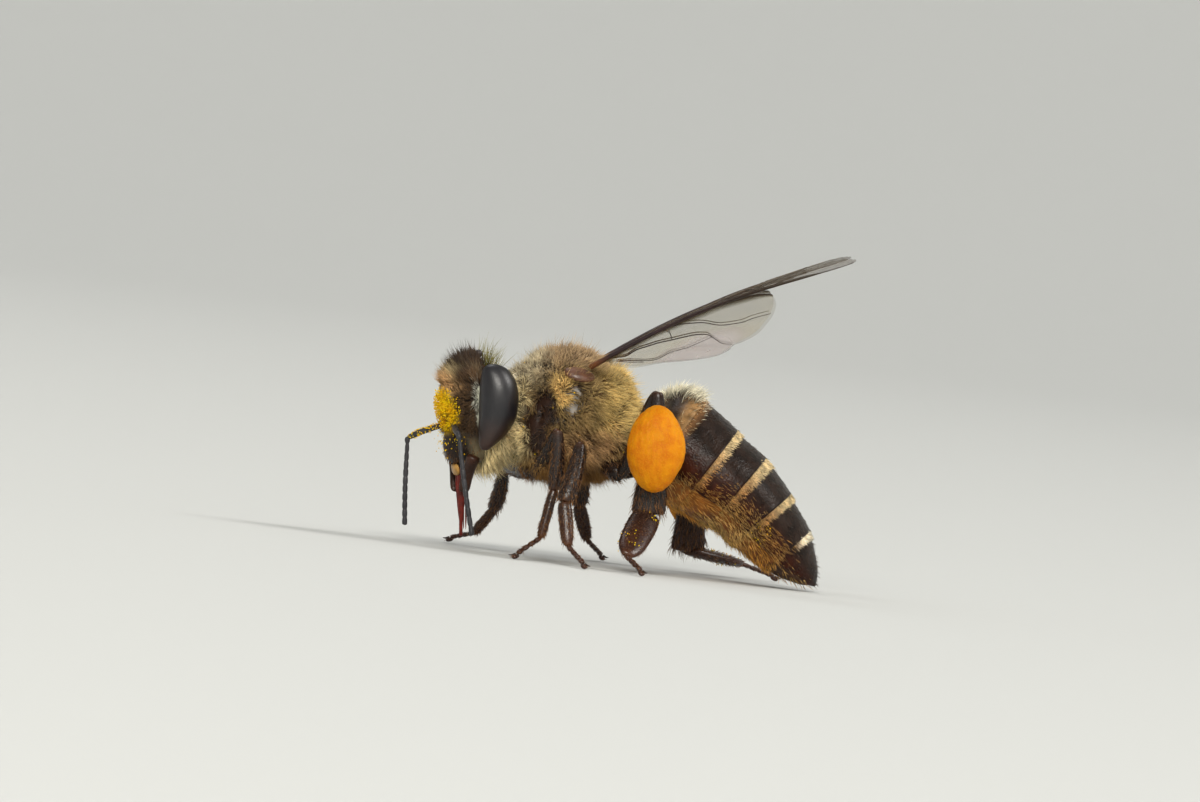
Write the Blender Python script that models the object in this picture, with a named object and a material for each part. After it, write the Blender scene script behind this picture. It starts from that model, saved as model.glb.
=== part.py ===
"""A honey bee worker, life size: she stands on all six legs and drinks, her wings held back.

She faces -Y, her left side is +X and +Z is up. Sizes are in millimetres and become metres in the
last step, which also puts the origin under the middle of her box, on the ground she stands on.
"""

import math

import bmesh
import bpy
import numpy as np
from mathutils import Matrix, Vector

MM = 0.001  # metres in a millimetre
GAP = 0.03  # air between two neighbouring pieces
SIDES = {"left": 1, "right": -1}
FOOT_LEVEL = 0.0  # the ground, before the origin is set

# Driving sizes of the body, the coat included
LEAN = math.radians(7.0)  # she leans forward on her legs
HEAD_YAW = math.radians(20.0)  # and turns her face to her left
HEAD_CENTRE = Vector((0.0, -2.75, 3.56))
EYE_LEFT = 1.30  # from the head's middle to the middle of an eye
NECK_RADIUS = 0.42
WAIST_RADIUS = 0.40
THORAX_ROUNDNESS = 2.25  # 2 is an ellipse, more is squarer
WING_THICKNESS = 0.50
# Each wing: its sizes, where the clear film lies in its thickness, and where it is rooted on her left
FOREWING = {
    "length": 7.85, "chord": 2.85, "sweep": 32.5, "rise": 29.1, "droop": 0.0, "bow": 0.28, "film": -0.15,
    "root": (1.42, -0.08, 4.93),
}
HINDWING = {
    "length": 5.10, "chord": 1.80, "sweep": 33.6, "rise": 33.5, "droop": 39.0, "bow": 0.0, "film": 0.20,
    "root": (1.28, 0.21, 5.13),
}
WING_ARCH = 0.05  # how far a wing bulges between its front and hind edge
POLLEN_HALF = (0.72, 0.56, 1.10)  # across the shin, out from it and along it
POLLEN_SHARE = 0.46  # its place along the shin
POLLEN_OUT = 0.62  # how far its middle stands out from the shin
POLLEN_BACK = 0.06  # and behind it

# Places on the head: left, forward and up from its centre
JAW_BASE, JAW_TIP = (0.74, 0.40, -1.12), (0.42, 0.38, -2.27)
TONGUE_BASE, TONGUE_TIP = (0.0, 0.42, -1.40), (0.0, 0.44, -3.22)
SOCKET = (0.26, 0.80, -0.40)
# Elbow and tip of each feeler
FEELERS = {
    "left": ((1.45, -3.14, 2.87), (1.62, -2.50, 0.42)),
    "right": ((-0.35, -4.42, 2.60), (-0.42, -4.22, 0.42)),
}
NECK_ENDS = (0.04, -2.25, 3.60), (0.0, -1.45, 3.66)
WAIST_ENDS = (0.0, 1.05, 3.50), (0.0, 1.95, 3.32)

# Half widths of the head at heights above its centre: up, half width, middle forward, half depth
HEAD_ROWS = [
    (-1.55, 0.34, 0.42, 0.15),
    (-1.32, 0.60, 0.42, 0.28),
    (-0.95, 1.00, 0.32, 0.50),
    (-0.65, 1.25, 0.24, 0.74),
    (-0.10, 1.50, 0.16, 0.95),
    (0.50, 1.56, 0.14, 0.97),
    (0.95, 1.42, 0.06, 0.93),
    (1.25, 1.15, 0.06, 0.76),
    (1.46, 0.72, 0.12, 0.48),
    (1.56, 0.30, 0.14, 0.22),
]
# An eye from its top down: up, front edge, rear edge, half across
EYE_ROWS = [
    (1.12, 0.05, -0.12, 0.08),
    (0.95, 0.25, -0.36, 0.25),
    (0.65, 0.37, -0.54, 0.38),
    (0.35, 0.40, -0.60, 0.44),
    (0.00, 0.42, -0.60, 0.46),
    (-0.30, 0.43, -0.52, 0.45),
    (-0.50, 0.44, -0.40, 0.42),
    (-0.72, 0.44, -0.20, 0.35),
    (-0.90, 0.42, 0.02, 0.25),
    (-1.03, 0.36, 0.18, 0.12),
]
# The thorax from neck to waist: place along Y, half width, underside, top
THORAX_ROWS = [
    (-2.16, 0.75, 3.00, 4.55),
    (-2.02, 1.25, 2.60, 4.98),
    (-1.60, 1.75, 2.22, 5.32),
    (-0.90, 2.02, 2.02, 5.54),
    (-0.20, 2.04, 1.98, 5.50),
    (0.40, 1.86, 2.08, 5.24),
    (0.90, 1.52, 2.34, 4.76),
    (1.28, 1.02, 2.76, 4.26),
    (1.43, 0.50, 3.10, 3.95),
]
# The abdomen's rings from the waist to the sting: along Y, up, half width, half thickness
ABDOMEN_ROWS = [
    (1.52, 3.42, 0.55, 0.52),
    (1.78, 3.39, 1.26, 1.17),
    (2.17, 3.24, 1.68, 1.39),
    (3.15, 2.62, 1.87, 1.31),
    (3.96, 2.17, 1.84, 1.16),
    (4.70, 1.50, 1.60, 1.00),
    (5.41, 0.83, 1.12, 0.76),
    (5.92, 0.36, 0.50, 0.38),
    (6.12, 0.19, 0.12, 0.09),
]
SEGMENT_SPANS = [(0, 2), (2, 3), (3, 4), (4, 5), (5, 6), (6, 8)]  # first and last ring of each
OVERHANG = 0.05  # how far a plate's hind edge stands over the next one
# Front and hind edge of each wing, as shares of its chord, at shares of its length
FOREWING_ROWS = [
    (0.00, 0.000, 0.12),
    (0.14, -0.050, 0.26),
    (0.34, -0.075, 0.50),
    (0.55, -0.065, 0.82),
    (0.72, -0.045, 0.97),
    (0.83, -0.010, 0.86),
    (0.95, 0.070, 0.52),
    (1.00, 0.240, 0.29),
]
HINDWING_ROWS = [
    (0.00, 0.000, 0.15),
    (0.06, -0.030, 0.40),
    (0.20, -0.065, 0.62),
    (0.34, -0.080, 0.80),
    (0.55, -0.055, 0.98),
    (0.75, -0.005, 0.93),
    (0.93, 0.140, 0.62),
    (1.00, 0.290, 0.33),
]

# Joints of each leg: root in the thorax, hip, knee, ankle, heel of the foot and toe
LEGS = {
    "fore_left": [
        (0.45, -1.35, 2.55), (1.00, -1.20, 2.05), (2.20, -0.70, 3.30),
        (2.22, -0.62, 1.80), (2.46, -0.80, 0.60), (3.12, -1.36, 0.13),
    ],
    "mid_left": [
        (0.50, -0.25, 2.50), (1.00, -0.22, 2.00), (2.50, -0.10, 3.04),
        (3.20, -0.32, 1.56), (3.58, -0.10, 0.50), (4.50, 0.35, 0.13),
    ],
    "hind_left": [
        (0.55, 0.55, 2.70), (1.15, 0.98, 2.30), (2.00, 1.66, 4.54),
        (2.30, 1.78, 1.50), (3.72, 1.36, 0.44), (4.80, 1.78, 0.14),
    ],
    "fore_right": [
        (-0.45, -1.35, 2.55), (-0.95, -1.30, 2.05), (-2.65, -1.95, 2.12),
        (-3.50, -2.08, 0.98), (-3.92, -2.50, 0.34), (-4.62, -3.10, 0.14),
    ],
    "mid_right": [
        (-0.50, -0.25, 2.50), (-1.00, -0.22, 2.00), (-2.65, -0.15, 2.78),
        (-3.35, 0.05, 1.36), (-3.90, 0.35, 0.52), (-4.82, 0.78, 0.14),
    ],
    "hind_right": [
        (-0.55, 0.55, 2.70), (-1.22, 0.98, 2.30), (-2.60, 2.70, 3.15),
        (-3.50, 2.90, 0.58), (-4.50, 4.30, 0.38), (-5.20, 5.18, 0.14),
    ],
}
# Half width and half thickness along each length of a leg, as shares of that length
LEG_SHAPES = {
    "fore": {
        "coxa": [(0, 0.24, 0.24), (0.2, 0.34, 0.32), (0.7, 0.30, 0.28), (1, 0.18, 0.18)],
        "femur": [
            (0, 0.16, 0.16), (0.1, 0.25, 0.25), (0.5, 0.29, 0.27), (0.9, 0.26, 0.25),
            (1, 0.17, 0.17),
        ],
        "tibia": [
            (0, 0.17, 0.17), (0.1, 0.26, 0.25), (0.6, 0.28, 0.26), (0.92, 0.27, 0.25),
            (1, 0.18, 0.18),
        ],
        "metatarsus": [(0, 0.17, 0.17), (0.1, 0.25, 0.25), (0.9, 0.25, 0.25), (1, 0.17, 0.17)],
    },
    "mid": {
        "coxa": [(0, 0.24, 0.24), (0.2, 0.34, 0.32), (0.7, 0.30, 0.28), (1, 0.18, 0.18)],
        "femur": [
            (0, 0.16, 0.16), (0.1, 0.25, 0.25), (0.5, 0.30, 0.27), (0.9, 0.27, 0.25),
            (1, 0.17, 0.17),
        ],
        "tibia": [
            (0, 0.17, 0.17), (0.1, 0.27, 0.25), (0.6, 0.32, 0.27), (0.92, 0.31, 0.26),
            (1, 0.2, 0.18),
        ],
        "metatarsus": [(0, 0.2, 0.17), (0.1, 0.29, 0.25), (0.85, 0.27, 0.25), (1, 0.17, 0.17)],
    },
    "hind": {
        "coxa": [(0, 0.26, 0.26), (0.2, 0.38, 0.34), (0.7, 0.32, 0.3), (1, 0.2, 0.2)],
        "femur": [
            (0, 0.18, 0.18), (0.1, 0.27, 0.25), (0.5, 0.31, 0.27), (0.9, 0.28, 0.26),
            (1, 0.18, 0.18),
        ],
        "tibia": [
            (0, 0.16, 0.18), (0.06, 0.26, 0.26), (0.35, 0.36, 0.28), (0.9, 0.52, 0.28),
            (1, 0.44, 0.2),
        ],
        "metatarsus": [(0, 0.36, 0.18), (0.1, 0.47, 0.26), (0.8, 0.45, 0.26), (1, 0.3, 0.18)],
    },
}
TOE_SHAPE = [(0, 0.15, 0.15), (0.1, 0.23, 0.25), (0.55, 0.24, 0.25), (0.9, 0.30, 0.25), (1, 0.20, 0.18)]
FEELER_SHAPE = [(0, 0.18, 0.18), (0.08, 0.25, 0.25), (0.9, 0.26, 0.26), (1, 0.16, 0.16)]
JAW_SHAPE = [(0, 0.20, 0.18), (0.2, 0.28, 0.22), (0.75, 0.24, 0.20), (1, 0.12, 0.12)]
TONGUE_SHAPE = [(0, 0.22, 0.20), (0.15, 0.27, 0.25), (0.8, 0.25, 0.24), (1, 0.15, 0.15)]

# Colour, roughness and metallic value of each finish
FINISHES = {
    "coat": ((0.38, 0.27, 0.16), 0.85, 0.0),
    "face": ((0.16, 0.11, 0.07), 0.70, 0.0),
    "eye": ((0.012, 0.012, 0.014), 0.18, 0.0),
    "shell": ((0.045, 0.028, 0.018), 0.35, 0.0),
    "limb": ((0.075, 0.042, 0.026), 0.45, 0.0),
    "tongue": ((0.23, 0.07, 0.035), 0.35, 0.0),
    "wing": ((0.45, 0.36, 0.24), 0.30, 0.0),
    "pollen": ((0.86, 0.33, 0.04), 0.80, 0.0),
}

UP = Vector((0.0, -math.sin(LEAN), math.cos(LEAN)))
AHEAD = Vector((0.0, -math.cos(LEAN), -math.sin(LEAN)))
LEFT = Vector((1.0, 0.0, 0.0))
FACE = math.cos(HEAD_YAW) * AHEAD + math.sin(HEAD_YAW) * LEFT
CHEEK = math.cos(HEAD_YAW) * LEFT - math.sin(HEAD_YAW) * AHEAD


def clear_scene():
    for thing in list(bpy.context.scene.objects):
        bpy.data.objects.remove(thing, do_unlink=True)


def at_head(left, forward, up):
    """A point of the head, from its centre and along its own axes."""
    return HEAD_CENTRE + left * CHEEK + forward * FACE + up * UP


def finish(name):
    """The material of one finish, made once."""
    made = bpy.data.materials.get(name)
    if made:
        return made
    colour, roughness, metallic = FINISHES[name]
    made = bpy.data.materials.new(name)
    made.use_nodes = True
    shader = made.node_tree.nodes["Principled BSDF"]
    shader.inputs["Base Color"].default_value = (*colour, 1.0)
    shader.inputs["Roughness"].default_value = roughness
    shader.inputs["Metallic"].default_value = metallic
    return made


def flow(rows, steps):
    """A smooth run of numbers through the given rows, with steps between each two of them."""
    rows = np.array(rows, dtype=float)
    padded = np.vstack([2 * rows[0] - rows[1], rows, 2 * rows[-1] - rows[-2]])
    run = []
    for before, here, there, after in zip(padded, padded[1:], padded[2:], padded[3:]):
        for t in np.arange(steps) / steps:
            run.append(
                0.5 * (2 * here + (there - before) * t
                       + (2 * before - 5 * here + 4 * there - after) * t ** 2
                       + (3 * here - before - 3 * there + after) * t ** 3)
            )
    return np.vstack([*run, rows[-1]]).tolist()


def ring(centre, across, along, half_across, half_along, sides, roundness=2.0):
    """The points of one superellipse."""
    power = 2.0 / roundness
    points = []
    for k in range(sides):
        angle = 2 * math.pi * k / sides
        c, s = math.cos(angle), math.sin(angle)
        x = math.copysign(abs(c) ** power, c) * half_across
        y = math.copysign(abs(s) ** power, s) * half_along
        points.append(centre + x * across + y * along)
    return points


def add_object(name, bm, material, smooth=True):
    """An object from a finished bmesh, with its faces turned outwards."""
    bmesh.ops.recalc_face_normals(bm, faces=bm.faces)
    mesh = bpy.data.meshes.new(name)
    bm.to_mesh(mesh)
    bm.free()
    if smooth:
        mesh.shade_smooth()
    mesh.materials.append(finish(material))
    made = bpy.data.objects.new(name, mesh)
    bpy.context.scene.collection.objects.link(made)
    return made


def loft(name, rings, material):
    """A closed skin through rings of equally many points, capped at both ends."""
    bm = bmesh.new()
    loops = [[bm.verts.new(point) for point in points] for points in rings]
    for first, second in zip(loops, loops[1:]):
        for k in range(len(first)):
            n = (k + 1) % len(first)
            bm.faces.new((first[k], first[n], second[n], second[k]))
    bm.faces.new(loops[0])
    bm.faces.new(loops[-1])
    return add_object(name, bm, material)


def ball(name, centre, axes, halves, material):
    """An ellipsoid along three axes."""
    bm = bmesh.new()
    bmesh.ops.create_uvsphere(bm, u_segments=16, v_segments=12, radius=1.0)
    shape = Matrix([[axis[i] * half for axis, half in zip(axes, halves)] for i in range(3)])
    bmesh.ops.transform(bm, matrix=Matrix.Translation(centre) @ shape.to_4x4(), verts=bm.verts)
    return add_object(name, bm, material)


def limb(name, start, end, broad, shape, material, grow=0.0, sides=8):
    """One straight length of a leg, feeler or mouthpart, wide along broad."""
    start, end = Vector(start), Vector(end)
    axis = (end - start).normalized()
    wide = (Vector(broad) - Vector(broad).dot(axis) * axis).normalized()
    thick = axis.cross(wide)
    length = (end - start).length
    rings = []
    for share, half_wide, half_thick in shape:
        reach = GAP / 2 - grow + share * (length - GAP + 2 * grow)
        centre = start + reach * axis
        rings.append(ring(centre, wide, thick, half_wide + grow, half_thick + grow, sides))
    return loft(name, rings, material)


def cut(piece, *cutters):
    """Clears the space of each cutter out of a piece."""
    for cutter in cutters:
        cutter.hide_render = True
        cutter.display_type = "WIRE"
        step = piece.modifiers.new("Clearance", "BOOLEAN")
        step.operation = "DIFFERENCE"
        step.solver = "EXACT"
        step.object = cutter


def flatten_below(piece, level):
    """Cuts a piece off flat at a level, for a foot's rest."""
    bm = bmesh.new()
    bm.from_mesh(piece.data)
    cut_off = bmesh.ops.bisect_plane(
        bm,
        geom=bm.verts[:] + bm.edges[:] + bm.faces[:],
        plane_co=(0, 0, level),
        plane_no=(0, 0, -1),
        clear_outer=True,
    )
    rim = [edge for edge in cut_off["geom_cut"] if isinstance(edge, bmesh.types.BMEdge)]
    bmesh.ops.contextual_create(bm, geom=rim)
    bmesh.ops.recalc_face_normals(bm, faces=bm.faces)
    bm.to_mesh(piece.data)
    bm.free()


def head(name="head", grow=0.0):
    rings = []
    for up, half_wide, middle, half_deep in flow(HEAD_ROWS, 2):
        stretch = 1.0 + grow / HEAD_ROWS[-1][0]
        centre = at_head(0.0, middle, up * stretch)
        rings.append(ring(centre, CHEEK, FACE, half_wide + grow, half_deep + grow, 20, 2.2))
    return loft(name, rings, "face")


def eye(side, name, grow=0.0):
    """A tall eye, straight in front and bulging behind."""
    top, bottom = EYE_ROWS[0][0], EYE_ROWS[-1][0]
    rings = []
    for up, front, rear, half_across in EYE_ROWS:
        stretch = grow * ((up == top) - (up == bottom))
        centre = at_head(side * EYE_LEFT, (front + rear) / 2, up + stretch)
        rings.append(ring(centre, CHEEK, FACE, half_across + grow, (front - rear) / 2 + grow, 12))
    return loft(name, rings, "eye")


def thorax(name="thorax", grow=0.0):
    rings = []
    for along, half_wide, low, high in flow(THORAX_ROWS, 2):
        ends = grow * (1 if along > 0 else -1)
        centre = Vector((0.0, along + ends, (low + high) / 2))
        half_high = (high - low) / 2 + grow
        upright = Vector((0, 0, 1))
        rings.append(ring(centre, LEFT, upright, half_wide + grow, half_high, 20, THORAX_ROUNDNESS))
    return loft(name, rings, "coat")


def abdomen_segment(number):
    """One ring of the abdomen: back plate and belly plate, its hind edge a little proud of the next."""
    steps = 3
    rows = np.array(flow(ABDOMEN_ROWS, steps))
    slopes = np.gradient(rows[:, :2], axis=0).tolist()
    first, last = (steps * k for k in SEGMENT_SPANS[number])
    rings = []
    for k in range(first, last + 1):
        along, up, half_wide, half_thick = rows[k].tolist()
        tangent = Vector((0.0, *slopes[k])).normalized()
        outward = LEFT.cross(tangent)
        centre = Vector((0.0, along, up))
        if k == first:
            centre += GAP / 2 * tangent
        elif k == last:
            centre -= GAP / 2 * tangent
        share = (k - first) / (last - first)
        proud = OVERHANG * share if number < len(SEGMENT_SPANS) - 1 else 0.0
        rings.append(ring(centre, LEFT, outward, half_wide + proud, half_thick + proud, 24, 2.2))
    return loft(f"abdomen_{number + 1}", rings, "shell")


def wing(name, side, sizes, rows, grow=0.0):
    """A wing lofted from root to tip, bowed along its length and arched across it."""
    sweep, rise, droop = (math.radians(sizes[key]) for key in ("sweep", "rise", "droop"))
    flat_reach = math.cos(sweep)
    spine = Vector((side * math.sin(sweep), flat_reach * math.cos(rise), flat_reach * math.sin(rise)))
    level = (side * LEFT - side * LEFT.dot(spine) * spine).normalized()
    below = side * spine.cross(level)
    chord = math.sin(droop) * below - math.cos(droop) * level
    upward = side * spine.cross(chord).normalized()
    x, y, z = sizes["root"]
    root = Vector((side * x, y, z))
    across = [0.0, 1 / 3, 2 / 3, 1.0]
    rings = []
    for share, front, hind in flow(rows, 2):
        bow = sizes["bow"] * math.sin(math.pi * share)
        stretch = grow * ((share == 1.0) - (share == 0.0))
        middle = root + (share * sizes["length"] + stretch) * spine
        faces = []
        for face in (-1, 1):
            lift = bow - sizes["film"] + face * (WING_THICKNESS / 2 + grow)
            for k in across[::-face]:
                depth = (front + k * (hind - front)) * sizes["chord"] + (2 * k - 1) * grow
                arch = WING_ARCH * math.sin(math.pi * k)
                faces.append(middle + depth * chord + (lift + arch) * upward)
        rings.append(faces)
    return loft(name, rings, "wing")


def forewing(name, side, grow=0.0):
    return wing(name, side, FOREWING, FOREWING_ROWS, grow)


def leg(pair, side_name):
    """A leg in five lengths, each one cleared for the next; the toes rest flat on the ground."""
    place = f"{pair}_{side_name}"
    root, hip, knee, ankle, heel, toe = (Vector(p) for p in LEGS[place])
    shapes = dict(LEG_SHAPES[pair], toes=TOE_SHAPE)
    joints = {
        "coxa": (root, hip),
        "femur": (hip, knee),
        "tibia": (knee, ankle),
        "metatarsus": (ankle, heel),
        "toes": (heel, toe),
    }
    level_cross = (toe - heel).cross(Vector((0, 0, 1)))
    broad = {
        "coxa": Vector((0, 1, 0)),
        "femur": Vector((0, 1, 0)),
        "tibia": Vector((0, 1, 0)),
        "metatarsus": level_cross if pair == "hind" else Vector((0, 1, 0)),
        "toes": level_cross,
    }
    made = {}
    for part, (start, end) in joints.items():
        made[part] = limb(f"{part}_{place}", start, end, broad[part], shapes[part], "limb")
    flatten_below(made["toes"], FOOT_LEVEL)
    parts = list(joints)
    for part, farther in zip(parts, parts[1:]):
        start, end = joints[farther]
        clearance = f"clear_{farther}_{place}"
        cut(made[part], limb(clearance, start, end, broad[farther], shapes[farther], "limb", GAP))
    return made, joints, broad, shapes


def pollen_load(side_name, joints, broad, shapes):
    """The pollen packed on the outer face of a hind shin."""
    knee, ankle = joints["tibia"]
    side = SIDES[side_name]
    axis = (ankle - knee).normalized()
    outward = (side * LEFT - (side * LEFT).dot(axis) * axis).normalized()
    across = axis.cross(outward)
    centre = knee.lerp(ankle, POLLEN_SHARE) + POLLEN_OUT * outward + POLLEN_BACK * Vector((0, 1, 0))
    load = ball(f"pollen_load_{side_name}", centre, (across, outward, axis), POLLEN_HALF, "pollen")
    cut(load, limb(f"clear_shin_{side_name}", knee, ankle, broad["tibia"], shapes["tibia"], "limb", GAP))
    return load


def stalk(name, ends, radius, grow=0.0):
    """A round stalk between two bigger parts."""
    return limb(name, *ends, LEFT, [(0, radius, radius), (1, radius, radius)], "coat", grow, sides=12)


def head_parts():
    """Head, eyes, jaws, tongue and feelers, each cleared for its neighbours."""
    the_head = head()
    for side_name, side in SIDES.items():
        eye(side, f"eye_{side_name}")
        cut(the_head, eye(side, f"clear_eye_{side_name}", GAP))
        base, tip = (at_head(side * left, forward, up) for left, forward, up in (JAW_BASE, JAW_TIP))
        jaw = limb(f"mandible_{side_name}", base, tip, FACE, JAW_SHAPE, "shell")
        cut(jaw, head(f"clear_head_jaw_{side_name}", GAP))

        left, forward, up = SOCKET
        socket = at_head(side * left, forward, up)
        elbow, tip = FEELERS[side_name]
        scape = limb(f"antenna_scape_{side_name}", socket, elbow, LEFT, FEELER_SHAPE, "limb")
        limb(f"antenna_flagellum_{side_name}", elbow, tip, LEFT, FEELER_SHAPE, "limb")
        clear_flagellum = limb(
            f"clear_flagellum_{side_name}", elbow, tip, LEFT, FEELER_SHAPE, "limb", GAP)
        cut(scape, head(f"clear_head_{side_name}", GAP), clear_flagellum)
    base, tip = at_head(*TONGUE_BASE), at_head(*TONGUE_TIP)
    cut(limb("proboscis", base, tip, CHEEK, TONGUE_SHAPE, "tongue"), head("clear_head_tongue", GAP))


def trunk():
    """Thorax, neck, waist and abdomen."""
    the_thorax = thorax()
    neck = stalk("neck", NECK_ENDS, NECK_RADIUS)
    stalk("waist", WAIST_ENDS, WAIST_RADIUS)
    clear_neck = stalk("clear_neck", NECK_ENDS, NECK_RADIUS, GAP)
    clear_waist = stalk("clear_waist", WAIST_ENDS, WAIST_RADIUS, GAP)
    cut(neck, head("clear_head_neck", GAP))
    clear_eyes = [bpy.data.objects[f"clear_eye_{side_name}"] for side_name in SIDES]
    cut(the_thorax, clear_neck, clear_waist, head("clear_head_thorax", GAP), *clear_eyes)
    segments = [abdomen_segment(number) for number in range(len(SEGMENT_SPANS))]
    cut(segments[0], clear_waist)
    return the_thorax


def wings():
    for side_name, side in SIDES.items():
        front = forewing(f"forewing_{side_name}", side)
        back = wing(f"hindwing_{side_name}", side, HINDWING, HINDWING_ROWS)
        clear_thorax = thorax(f"clear_thorax_{side_name}", GAP)
        cut(front, clear_thorax)
        cut(back, clear_thorax, forewing(f"clear_forewing_{side_name}", side, GAP))


def build():
    clear_scene()
    head_parts()
    the_thorax = trunk()
    wings()
    for pair in ("fore", "mid", "hind"):
        for side_name in SIDES:
            made, joints, broad, shapes = leg(pair, side_name)
            for part in ("coxa", "femur"):
                start, end = joints[part]
                clearance = f"clear_{part}_{pair}_{side_name}"
                cutter = bpy.data.objects.get(clearance) or limb(
                    clearance, start, end, broad[part], shapes[part], "limb", GAP)
                cut(the_thorax, cutter)
            if pair == "hind":
                pollen_load(side_name, joints, broad, shapes)


def to_metres():
    """Applies every clearance, drops the cutters and sets size and origin."""
    graph = bpy.context.evaluated_depsgraph_get()
    pieces = [thing for thing in bpy.context.scene.objects if not thing.hide_render]
    meshes = {thing: bpy.data.meshes.new_from_object(thing.evaluated_get(graph)) for thing in pieces}
    for thing in list(bpy.context.scene.objects):
        if thing.hide_render:
            bpy.data.objects.remove(thing, do_unlink=True)
    corners = np.array([vertex.co for mesh in meshes.values() for vertex in mesh.vertices])
    low, high = corners.min(axis=0), corners.max(axis=0)
    base = Vector(((low[0] + high[0]) / 2, (low[1] + high[1]) / 2, FOOT_LEVEL))
    for thing, mesh in meshes.items():
        thing.modifiers.clear()
        mesh.transform(Matrix.Scale(MM, 4) @ Matrix.Translation(-base))
        mesh.name = thing.name
        thing.data = mesh


build()
to_metres()
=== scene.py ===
"""The honey bee's looks: her skin, eyes, plates, wings, legs, pollen and coat of hair.

Everything is made on a bench in millimetres, in the axes of the solids' own drawing: she faces -Y,
her left is +X and +Z is up. settle() then moves each finished piece into the frame, in metres.
"""

import math

import bmesh
import bpy
import numpy as np
from bpy.props import FloatProperty, FloatVectorProperty, IntProperty, PointerProperty
from mathutils import Matrix, Vector


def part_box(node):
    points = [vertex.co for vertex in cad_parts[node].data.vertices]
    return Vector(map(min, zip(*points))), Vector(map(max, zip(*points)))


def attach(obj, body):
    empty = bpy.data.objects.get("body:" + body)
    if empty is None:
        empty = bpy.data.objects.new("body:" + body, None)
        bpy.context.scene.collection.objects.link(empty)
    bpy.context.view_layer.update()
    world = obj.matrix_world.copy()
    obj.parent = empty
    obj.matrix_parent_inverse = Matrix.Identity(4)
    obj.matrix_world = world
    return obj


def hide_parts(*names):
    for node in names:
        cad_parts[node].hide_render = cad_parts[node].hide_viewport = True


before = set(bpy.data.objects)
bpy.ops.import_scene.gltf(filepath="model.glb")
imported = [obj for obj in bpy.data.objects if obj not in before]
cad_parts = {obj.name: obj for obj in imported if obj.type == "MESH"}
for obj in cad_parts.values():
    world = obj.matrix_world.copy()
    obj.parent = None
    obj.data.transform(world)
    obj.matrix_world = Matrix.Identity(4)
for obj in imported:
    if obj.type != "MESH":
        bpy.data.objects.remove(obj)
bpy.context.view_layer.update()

bl_info = {
    "name": "Honey bee dresser",
    "version": (1, 0, 0),
    "blender": (4, 5, 0),
    "location": "View3D > Sidebar > Bee",
    "description": "Dresses the solids of a life-size honey bee with skin, shell, wings and hair",
    "category": "Object",
}

MM = 0.001
SIDES = {"left": 1, "right": -1}

# Stance of the head and body, as in the solids
LEAN = math.radians(7.0)
HEAD_YAW = math.radians(20.0)
HEAD_CENTRE = Vector((0.0, -2.75, 3.56))
EYE_LEFT = 1.29  # from the middle of the head to the middle of an eye
WAIST_MIDDLE = 1.50  # along Y on the bench
UP = Vector((0.0, -math.sin(LEAN), math.cos(LEAN)))
AHEAD = Vector((0.0, -math.cos(LEAN), -math.sin(LEAN)))
LEFT = Vector((1.0, 0.0, 0.0))
FACE = math.cos(HEAD_YAW) * AHEAD + math.sin(HEAD_YAW) * LEFT
CHEEK = math.cos(HEAD_YAW) * LEFT - math.sin(HEAD_YAW) * AHEAD


def at_head(left, forward, up):
    """A point of the head, from its centre and along its own axes."""
    return HEAD_CENTRE + left * CHEEK + forward * FACE + up * UP


def bench_shift():
    """How far the frame's axes stand from the bench's, found from the waist's solid."""
    low, high = (Vector(corner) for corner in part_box("waist"))
    return Vector((0.0, (low.y + high.y) / 2 / MM - WAIST_MIDDLE, 0.0))


SHIFT = bench_shift()

# Joints of each leg: root in the thorax, hip, knee, ankle, heel of the foot and toe
LEGS = {
    "fore_left": [
        (0.45, -1.35, 2.55), (1.00, -1.20, 2.05), (2.20, -0.70, 3.30),
        (2.22, -0.62, 1.80), (2.46, -0.80, 0.60), (3.12, -1.36, 0.13),
    ],
    "mid_left": [
        (0.50, -0.25, 2.50), (1.00, -0.22, 2.00), (2.50, -0.10, 3.04),
        (3.20, -0.32, 1.56), (3.58, -0.10, 0.50), (4.50, 0.35, 0.13),
    ],
    "hind_left": [
        (0.55, 0.55, 2.70), (1.15, 0.98, 2.30), (2.00, 1.66, 4.54),
        (2.30, 1.78, 1.50), (3.72, 1.36, 0.44), (4.80, 1.78, 0.14),
    ],
    "fore_right": [
        (-0.45, -1.35, 2.55), (-0.95, -1.30, 2.05), (-2.65, -1.95, 2.12),
        (-3.50, -2.08, 0.98), (-3.92, -2.50, 0.34), (-4.62, -3.10, 0.14),
    ],
    "mid_right": [
        (-0.50, -0.25, 2.50), (-1.00, -0.22, 2.00), (-2.65, -0.15, 2.78),
        (-3.35, 0.05, 1.36), (-3.90, 0.35, 0.52), (-4.82, 0.78, 0.14),
    ],
    "hind_right": [
        (-0.55, 0.55, 2.70), (-1.22, 0.98, 2.30), (-2.60, 2.70, 3.15),
        (-3.50, 2.90, 0.58), (-4.50, 4.30, 0.38), (-5.20, 5.18, 0.14),
    ],
}
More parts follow.
